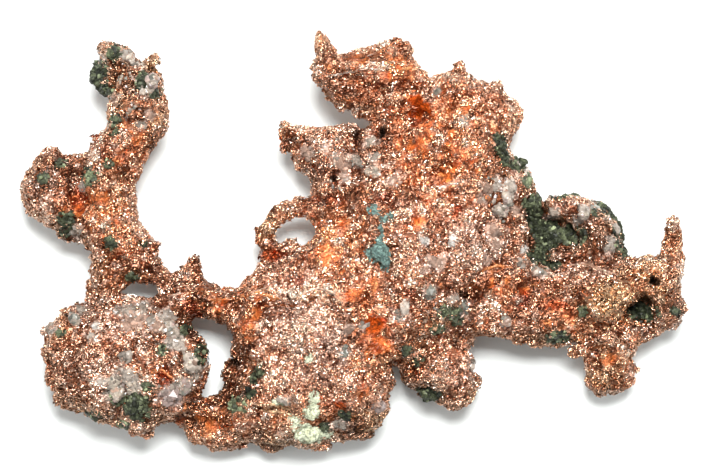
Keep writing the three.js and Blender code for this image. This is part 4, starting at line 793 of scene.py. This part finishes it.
def copper_flakes():
    """Thin flakes of copper that lie on the skin at a slant, each with a pinched edge."""
    generator, places, normals, cavity, size = sprinkle(FLAKES, 200, FLAKE_SIZE, 1.5, 0.15, True)
    count = len(places)
    lean = unit(normals + generator.normal(scale=0.38, size=(count, 3)))
    side = unit(np.cross(lean, unit(generator.normal(size=(count, 3)))))
    turns = np.stack([side, np.cross(lean, side), lean], axis=2)
    stretch = [generator.uniform(*limits, count) for limits in ((0.7, 1.2), (0.4, 0.8), (0.1, 0.25))]
    places = places + normals * (size * generator.uniform(0.1, 0.35, count))[:, None]
    points, faces = spindles(size[:, None] * np.column_stack(stretch), places, turns)
    tint = copper_color(places, normals, cavity * 0.4, 0.15)
    return crust_piece("copper_flakes", points, faces, tint)


def tube_faces(corner):
    """Triangles of a closed tube: corner holds the numbers of its corners, one row for each ring."""
    faces = []
    for ring, following in zip(corner[:-1], corner[1:]):
        for a, b, c, d in zip(ring, np.roll(ring, -1), np.roll(following, -1), following):
            faces += [[a, b, c], [a, c, d]]
    for end in (np.roll(corner[0, ::-1], 1), corner[-1]):
        faces += [[end[0], b, c] for b, c in zip(end[1:-1], end[2:])]
    return np.array(faces)


def copper_wires():
    """Short bent wires of copper lying over the skin, three-sided and pointed at both ends."""
    generator, places, normals, cavity, length = sprinkle(WIRES, 300, WIRE_SIZE, 1.8, 0.15)
    count = len(places)
    along = surface_flow(places, normals, generator)
    side = unit(np.cross(along, normals))
    bend = generator.normal(scale=0.45, size=(count, 1))
    thick = generator.uniform(0.05, 0.13, count) * MM
    corners_of_wire = []
    for step, width in WIRE_STEPS:
        arch = 0.16 * MM + length * 0.35 * (0.4 - step * step)
        middle = places + along * (length * step)[:, None] + side * bend * (length * step * step)[:, None]
        middle = middle + normals * arch[:, None]
        for corner in range(3):
            angle = 2 * math.pi * corner / 3 + generator.uniform(-0.4, 0.4, count)
            spread = side * np.cos(angle)[:, None] + normals * np.sin(angle)[:, None]
            corners_of_wire.append(middle + spread * (thick * width)[:, None])
    points = above_floor(np.stack(corners_of_wire, axis=1).reshape(-1, 3))
    numbers = np.arange(len(corners_of_wire)).reshape(-1, 3)
    faces = tube_faces(numbers)[None] + (np.arange(count) * numbers.size)[:, None, None]
    tint = copper_color(places, normals, cavity * 0.3, CRYSTAL_SPREAD)
    return crust_piece("copper_wires", points, faces.reshape(-1, 3), tint)


def rib_path(line, generator):
    """Points of the skin along a line, evened out and a little above it."""
    bends = np.array(line)
    lengths = np.concatenate([[0], np.cumsum(np.linalg.norm(np.diff(bends, axis=0), axis=1))])
    steps = np.linspace(0, lengths[-1], max(5, int(lengths[-1] / RIB_STEP)))
    path = np.column_stack([np.interp(steps, lengths, bends[:, axis]) for axis in (0, 1)])
    path += generator.normal(scale=0.06, size=path.shape)
    middles = np.array([point for point, _ in (drop(x, y) for x, y in path) if point is not None])
    middles[1:-1, 2] = (middles[:-2, 2] + 2 * middles[1:-1, 2] + middles[2:, 2]) / 4 + RIB_LIFT * MM
    return middles


def copper_ribs():
    """Long thin ribs of copper along the folds of the surface, four-sided and pointed at both ends."""
    generator = np.random.default_rng(400)
    points, faces, tints, start = [], [], [], 0
    for line, half_width, kind in RIBS:
        middles = rib_path(line, generator)
        count = len(middles)
        along = unit(np.gradient(middles, axis=0))
        side = unit(np.cross(along, [0, 0, 1]))
        up = np.cross(side, along)
        taper = np.sin(np.linspace(0.12, math.pi - 0.12, count)) ** 0.5
        taper = taper * generator.uniform(0.75, 1.2, count)
        width = (half_width * taper * MM)[:, None]
        points += [middles + (side * spread + up * lift) * width for spread, lift in RIB_SECTION]
        faces.append(tube_faces(start + np.arange(4 * count).reshape(4, count).T))
        start += 4 * count
        tint = COPPER_COLORS[kind] * generator.uniform(0.7, 1.15, size=(4 * count, 1))
        tints.append(np.column_stack([tint, np.full(len(tint), RIB_MATT)]))
    return crust_piece("copper_ribs", np.concatenate(points), np.concatenate(faces), np.concatenate(tints))


crystals = [copper_crystals(), copper_needles(), copper_flakes(), copper_wires(), copper_ribs()]

# ---- Minerals ----

QUARTZ_COLORS = {
    "white": (0.60, 0.51, 0.43), "grey": (0.41, 0.34, 0.28), "pink": (0.56, 0.37, 0.28),
    "cream": (0.61, 0.52, 0.42), "blue": (0.32, 0.31, 0.26), "lilac": (0.48, 0.36, 0.32),
    "bright": (0.92, 0.86, 0.78),
}
CHIP_SHADE = 0.86  # how bright the chips of quartz are, beside the larger grains
QUARTZ_LOOKS = {
    "quartz_boulder_north": "white", "quartz_boulder_east": "white",
    "quartz_boulder_south_east": "grey", "quartz_boulder_centre": "white",
    "quartz_boulder_south": "cream", "quartz_boulder_north_west": "blue",
    "quartz_arm_tip": "grey", "quartz_arm_edge": "white", "quartz_saddle": "white",
    "quartz_lobe_top": "white", "quartz_pocket_edge": "white", "quartz_round_pebble": "pink",
}
GREEN_DARK, GREEN_PALE = np.array([[0.009, 0.0115, 0.005], [0.155, 0.175, 0.10]])
# Colour of the larger lumps, and of the crust of chips.
PALE_LUMP, PALE_CRUST = np.array([[0.56, 0.58, 0.38], [0.55, 0.58, 0.42]])
BLUE_GREEN_LUMP, BLUE_GREEN_CRUST = np.array([[0.08, 0.135, 0.12], [0.095, 0.155, 0.135]])


def lay_chips(name, places, normals, sizes, colors, flatness, generator):
    """An angular chip of stone at each place, flat side along the surface, all as one mesh."""
    ball, faces = icosphere(1)
    count = len(places)
    spin = generator.uniform(0, 2 * math.pi, count)
    side = unit(np.cross(normals, np.column_stack([np.cos(spin), np.sin(spin), np.full(count, 0.3)])))
    turns = np.stack([side, np.cross(normals, side), normals], axis=2)
    stretch = sizes[:, None] * generator.uniform(0.7, 1.3, size=(count, 3)) * [1, 1, flatness]
    shapes = ball[None] * (1 + generator.normal(scale=0.15, size=(count, len(ball), 1))) * stretch[:, None, :]
    points, triangles = many(shapes, faces, places, turns)
    shade = generator.uniform(0.85, 1.15, size=(count, 1))
    obj = make_object(name, points, triangles, np.repeat(colors * shade, len(ball), axis=0))
    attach(obj, "root")
    return obj


def chips_on_spots(spots, per_area, size_range, sink, color_of, generator):
    """Places, normals, sizes and colours of chips heaped over spots of the skin."""
    found = []
    for spot in spots:
        x, y, rx, ry = spot[:4]
        count = max(4, int(per_area * rx * ry * math.pi / (1)))
        for _ in range(count):
            away, angle = math.sqrt(generator.random()), generator.uniform(0, 2 * math.pi)
            reach = SPOT_REACH * away
            point, normal = drop(x + rx * reach * math.cos(angle), y + ry * reach * math.sin(angle))
            if point is not None:
                size = generator.uniform(*size_range) * (1.3 - 0.6 * away) * MM
                found.append((point - normal * sink * size, normal, size, color_of(spot, generator)))
    return [np.array(column) for column in zip(*found)]


def chips_on_lump(points, faces, per_area, size_range, sink, color_of, generator):
    """Places, normals, sizes and colours of chips scattered over a lump's upper faces."""
    a, b, c = points[faces].transpose(1, 0, 2)
    across = np.cross(b - a, c - a)
    weights = np.linalg.norm(across, axis=1) / 2 * np.clip(unit(across)[:, 2] + 0.6, 0, 1)
    count = max(4, int(per_area * weights.sum() / MM ** 2 / (1)))
    chosen = generator.choice(len(faces), size=count, p=weights / weights.sum())
    shares = generator.dirichlet((1, 1, 1), size=count)
    places = shares[:, :1] * a[chosen] + shares[:, 1:2] * b[chosen] + shares[:, 2:] * c[chosen]
    normals = unit(across[chosen])
    sizes = generator.uniform(*size_range, size=count) * MM
    colors = np.array([color_of(None, generator) for _ in range(count)])
    return places - normals * (sink * sizes)[:, None], normals, sizes, colors


def refined(name, levels, dent, dent_size, seed):
    """Arrays of a CAD grain with its flat sides worn round and dented."""
    source = add_object("grain", nodes[name].data.copy())
    weld = source.modifiers.new("weld", "WELD")
    weld.merge_threshold = 0.01 * MM
    rounding = source.modifiers.new("rounding", "SUBSURF")
    rounding.levels = levels
    points, faces, normals = arrays_of(source)
    bpy.data.objects.remove(source)
    fine = 0.5 * dent * billow(points, 0.45 * dent_size * MM, seed + 1)
    dents = layers(points, fine, (dent, dent_size, seed))
    return above_floor(points + normals * (dents * MM)[:, None]), faces


def stand_in(name, points, faces, color):
    """The visible piece for a CAD grain."""
    obj = make_object(name + "_look", points, faces, np.clip(color, 0, 1))
    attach(obj, "root")
    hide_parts(name)
    return obj


def mineral_pieces(crust, fields, lumps, on_lump, color_of, flatness, seed):
    """The look of each lump of a mineral, and its finer chips on fields of the skin and on the lumps.

    A field is its spots, chips per square millimetre, sizes and sink. on_lump is the same, without spots.
    """
    generator = np.random.default_rng(seed)
    batches = [chips_on_spots(*field, color_of, generator) for field in fields]
    made = []
    for name, points, faces, tint in lumps:
        made.append(stand_in(name, points, faces, tint))
        batches.append(chips_on_lump(points, faces, *on_lump, color_of, generator))
    gathered = [np.concatenate(column) for column in zip(*batches)]
    grains = lay_chips(crust, *gathered, flatness, generator)
    return [grains, *made]


def quartz_color(spot, generator):
    """The colour of one chip: its spot's look, or any but the bright one."""
    looks = ["white", "grey", "pink", "cream", "blue", "lilac"]
    look = spot[4] if spot is not None and len(spot) > 4 else looks[generator.integers(len(looks))]
    return np.array(QUARTZ_COLORS[look]) * CHIP_SHADE * math.exp(generator.normal(scale=0.3))


def quartz_pieces():
    lumps = []
    for number, (name, look) in enumerate(sorted(QUARTZ_LOOKS.items())):
        points, faces = refined(name, 2, 0.4, 1.3, 60 + number)
        shade = layers(points, 1, (0.3, 0.9, 80 + number))
        lumps.append((name, points, faces, np.array(QUARTZ_COLORS[look]) * shade[:, None]))
    fields = [(QUARTZ_SPOTS, 6, (0.4, 0.85), 0.25), (QUARTZ_FIELDS, 1.1, (0.22, 0.6), 0.25)]
    on_lump = (2.0, (0.25, 0.7), 0.3)
    return mineral_pieces("quartz_grains", fields, lumps, on_lump, quartz_color, 0.7, 21)


def green_tint(pale):
    return GREEN_DARK * (1 - pale) + GREEN_PALE * pale


def green_color(spot, generator):
    pale = spot[4] if spot is not None else 0.15
    pale = np.clip(0.7 * pale + generator.exponential(0.16) - 0.05, 0, 1)
    return green_tint(pale) * math.exp(generator.normal(scale=0.6))


def green_pieces():
    lumps = []
    for number, name in enumerate(sorted(name for name in nodes if name.startswith("chlorite"))):
        points, faces = refined(name, 2, 0.55, 1.5, 90 + number)
        pale = layers(points, 0.1, (0.3, 1.2, 120), (0.2, 0.5, 121))
        lumps.append((name, points, faces, green_tint(np.clip(pale, 0, 1)[:, None])))
    fields = [(GREEN_SPOTS, 13, (0.24, 0.58), 0.0)]
    on_lump = (5.0, (0.18, 0.5), 0.1)
    return mineral_pieces("chlorite_crust", fields, lumps, on_lump, green_color, 0.8, 41)


def pale_color(_, generator):
    return PALE_CRUST * generator.uniform(0.6, 1.1)


def pale_pieces():
    lumps = []
    for number, name in enumerate(["pale_crust_edge", "pale_crust_inner"]):
        points, faces = refined(name, 2, 0.5, 1.2, 140 + number)
        shade = layers(points, 0.85, (0.3, 0.8, 141), (0.2, 0.3, 142))
        lumps.append((name, points, faces, PALE_LUMP * shade[:, None]))
    fields = [(PALE_SPOTS, 24, (0.22, 0.5), 0.0)]
    on_lump = (5.0, (0.15, 0.4), 0.2)
    return mineral_pieces("pale_crust_grains", fields, lumps, on_lump, pale_color, 0.5, 42)


def blue_green_color(_, generator):
    return BLUE_GREEN_CRUST * math.exp(generator.normal(scale=0.3))


def blue_green_pieces():
    name = "chrysocolla_patch"
    points, faces = refined(name, 3, 0.35, 1.2, 160)
    shade = layers(points, 1, (0.35, 0.9, 161), (0.35, 0.35, 162))
    lumps = [(name, points, faces, BLUE_GREEN_LUMP * shade[:, None])]
    fields = [(BLUE_GREEN_SPOTS, 16, (0.18, 0.42), 0.2)]
    on_lump = (7.0, (0.15, 0.4), 0.3)
    crust = "chrysocolla_crust"
    return mineral_pieces(crust, fields, lumps, on_lump, blue_green_color, 0.5, 43)


quartz = quartz_pieces()
green = green_pieces()
pale_crust = pale_pieces()
blue_green = blue_green_pieces()

# ---- Materials ----


def new_material(name, values):
    """A material with one shader, its node tree and the shader, with the constants given."""
    material = bpy.data.materials.new(name)
    material.use_nodes = True
    tree = material.node_tree
    tree.nodes.clear()
    output = tree.nodes.new("ShaderNodeOutputMaterial")
    shader = add_node(tree, "ShaderNodeBsdfPrincipled", values.items())
    tree.links.new(shader.outputs["BSDF"], output.inputs["Surface"])
    return material, tree, shader


def add_node(tree, kind, values=(), sources=(), operation=None):
    """A new node with the given constants and incoming links, each a pair of socket and value or source."""
    made = tree.nodes.new(kind)
    if operation:
        made.operation = operation
    for socket, value in values:
        made.inputs[socket].default_value = value
    for socket, source in sources:
        tree.links.new(source, made.inputs[socket])
    return made


def vertex_tint(tree):
    tint = tree.nodes.new("ShaderNodeAttribute")
    tint.attribute_name = "tint"
    return tint


def fine_noise(tree, *values):
    """Noise over the object, with the size and other constants given."""
    place = tree.nodes.new("ShaderNodeTexCoord")
    return add_node(tree, "ShaderNodeTexNoise", values, [("Vector", place.outputs["Object"])])


def tint_color(tree, shader, grain, amount):
    """Base colour: the vertex tint, varied by a fine grain."""
    speckle = fine_noise(tree, ("Scale", grain), ("Detail", 1.0))
    limits = [("From Min", 0.3), ("From Max", 0.7), ("To Min", 1.0 - amount), ("To Max", 1.0 + amount)]
    spread = add_node(tree, "ShaderNodeMapRange", limits, [("Value", speckle.outputs["Fac"])])
    sources = [(0, vertex_tint(tree).outputs["Color"]), ("Scale", spread.outputs["Result"])]
    varied = add_node(tree, "ShaderNodeVectorMath", (), sources, "SCALE")
    tree.links.new(varied.outputs["Vector"], shader.inputs["Base Color"])


def facet_normals(tree, shader, cell, tilt):
    """The surface is crumpled finely, as a crust of tiny crystals is, and less where it is matt."""
    matt = vertex_tint(tree).outputs["Alpha"]
    limits = [("To Min", 0.22), ("To Max", 0.75)]
    rough = add_node(tree, "ShaderNodeMapRange", limits, [("Value", matt)])
    tree.links.new(rough.outputs["Result"], shader.inputs["Roughness"])
    limits = [("To Min", tilt), ("To Max", 0.25 * tilt)]
    tilting = add_node(tree, "ShaderNodeMapRange", limits, [("Value", matt)])
    geometry = tree.nodes.new("ShaderNodeNewGeometry")
    cells = fine_noise(tree, ("Scale", cell), ("Detail", 2.0), ("Distortion", 0.6))
    half = [(1, (0.5, 0.5, 0.5))]
    lean = add_node(tree, "ShaderNodeVectorMath", half, [(0, cells.outputs["Color"])], "SUBTRACT")
    for operation, socket, source in (
        ("SCALE", "Scale", tilting.outputs["Result"]), ("ADD", 1, geometry.outputs["Normal"]),
    ):
        sources = [(0, lean.outputs["Vector"]), (socket, source)]
        lean = add_node(tree, "ShaderNodeVectorMath", (), sources, operation)
    ready = add_node(tree, "ShaderNodeVectorMath", (), [(0, lean.outputs["Vector"])], "NORMALIZE")
    tree.links.new(ready.outputs["Vector"], shader.inputs["Normal"])


def copper_material():
    material, tree, shader = new_material("native_copper", {"Metallic": 1.0})
    tint_color(tree, shader, 5000.0, 0.58)
    facet_normals(tree, shader, 3300.0, 3.4)
    return material


def quartz_material():
    clouded = {"Roughness": 0.22, "IOR": 1.54, "Transmission Weight": 0.45}
    material, tree, shader = new_material("cloudy_quartz", clouded)
    tint_color(tree, shader, 1800.0, 0.25)
    return material


def stone_material(name, roughness, shine):
    material, tree, shader = new_material(name, {"Roughness": roughness, "Specular IOR Level": shine})
    tint_color(tree, shader, 2600.0, 0.5)
    return material


def give(material, objects):
    """The objects take this material only."""
    for obj in objects:
        obj.data.materials.clear()
        obj.data.materials.append(material)


give(copper_material(), [skin, *crystals])
give(quartz_material(), quartz)
give(stone_material("green_chlorite", 0.5, 0.25), green)
give(stone_material("pale_crust", 0.8, 0.3), pale_crust)
give(stone_material("blue_green_chrysocolla", 0.6, 0.4), blue_green)

# ---- Floor, light and camera ----

PICTURE_WIDTH = 118 * MM  # how much of the subject's middle height the picture spans
SUBJECT_HEIGHT = 8 * MM
CAMERA_SHIFT = 0.3 * MM  # how far above the outline's middle the picture's middle is


def lay_floor():
    bpy.ops.mesh.primitive_plane_add(size=6.0, location=(0, 0, 0))
    plane = bpy.context.object
    plane.name = "floor"
    chalky = {"Base Color": (0.89, 0.92, 0.905, 1), "Roughness": 0.9, "Specular IOR Level": 0.1}
    give(new_material("pale_floor", chalky)[0], [plane])


def area_light(name, place, size, watts):
    """A square or oblong light, in metres, that looks at the nugget."""
    data = bpy.data.lights.new(name, "AREA")
    data.shape = "RECTANGLE"
    data.size, data.size_y = size
    data.energy = watts
    light = add_object(name, data)
    light.location = place
    aim = Vector((0, 0, SUBJECT_HEIGHT)) - Vector(place)
    light.rotation_euler = aim.to_track_quat("-Z", "Y").to_euler()


def studio_world():
    world = bpy.data.worlds.new("studio")
    world.use_nodes = True
    background = world.node_tree.nodes["Background"]
    background.inputs["Color"].default_value = (0.9, 0.92, 0.92, 1)
    background.inputs["Strength"].default_value = 0.27
    return world


def picture_camera():
    data = bpy.data.cameras.new("camera")
    data.lens = 150
    data.sensor_width = 36
    data.clip_start = 0.01
    data.clip_end = 20
    camera = add_object("camera", data)
    distance = PICTURE_WIDTH * data.lens / data.sensor_width
    camera.location = (MIDDLE[0], MIDDLE[1] + CAMERA_SHIFT, SUBJECT_HEIGHT + distance)
    return camera


lay_floor()
area_light("key", (0.03, 0.22, 0.65), (0.22, 0.2), 6.6)
area_light("top", (-0.1, 0.0, 0.9), (0.8, 0.8), 1.2)
for name, x, y in (("left", -0.6, 0.05), ("right", 0.6, 0.1)):
    area_light(name, (x, y, 0.35), (0.14, 0.4), 0.9)
scene = bpy.context.scene
scene.world = studio_world()
scene.camera = picture_camera()
scene.view_settings.view_transform = "Standard"
scene.view_settings.exposure = 0.2
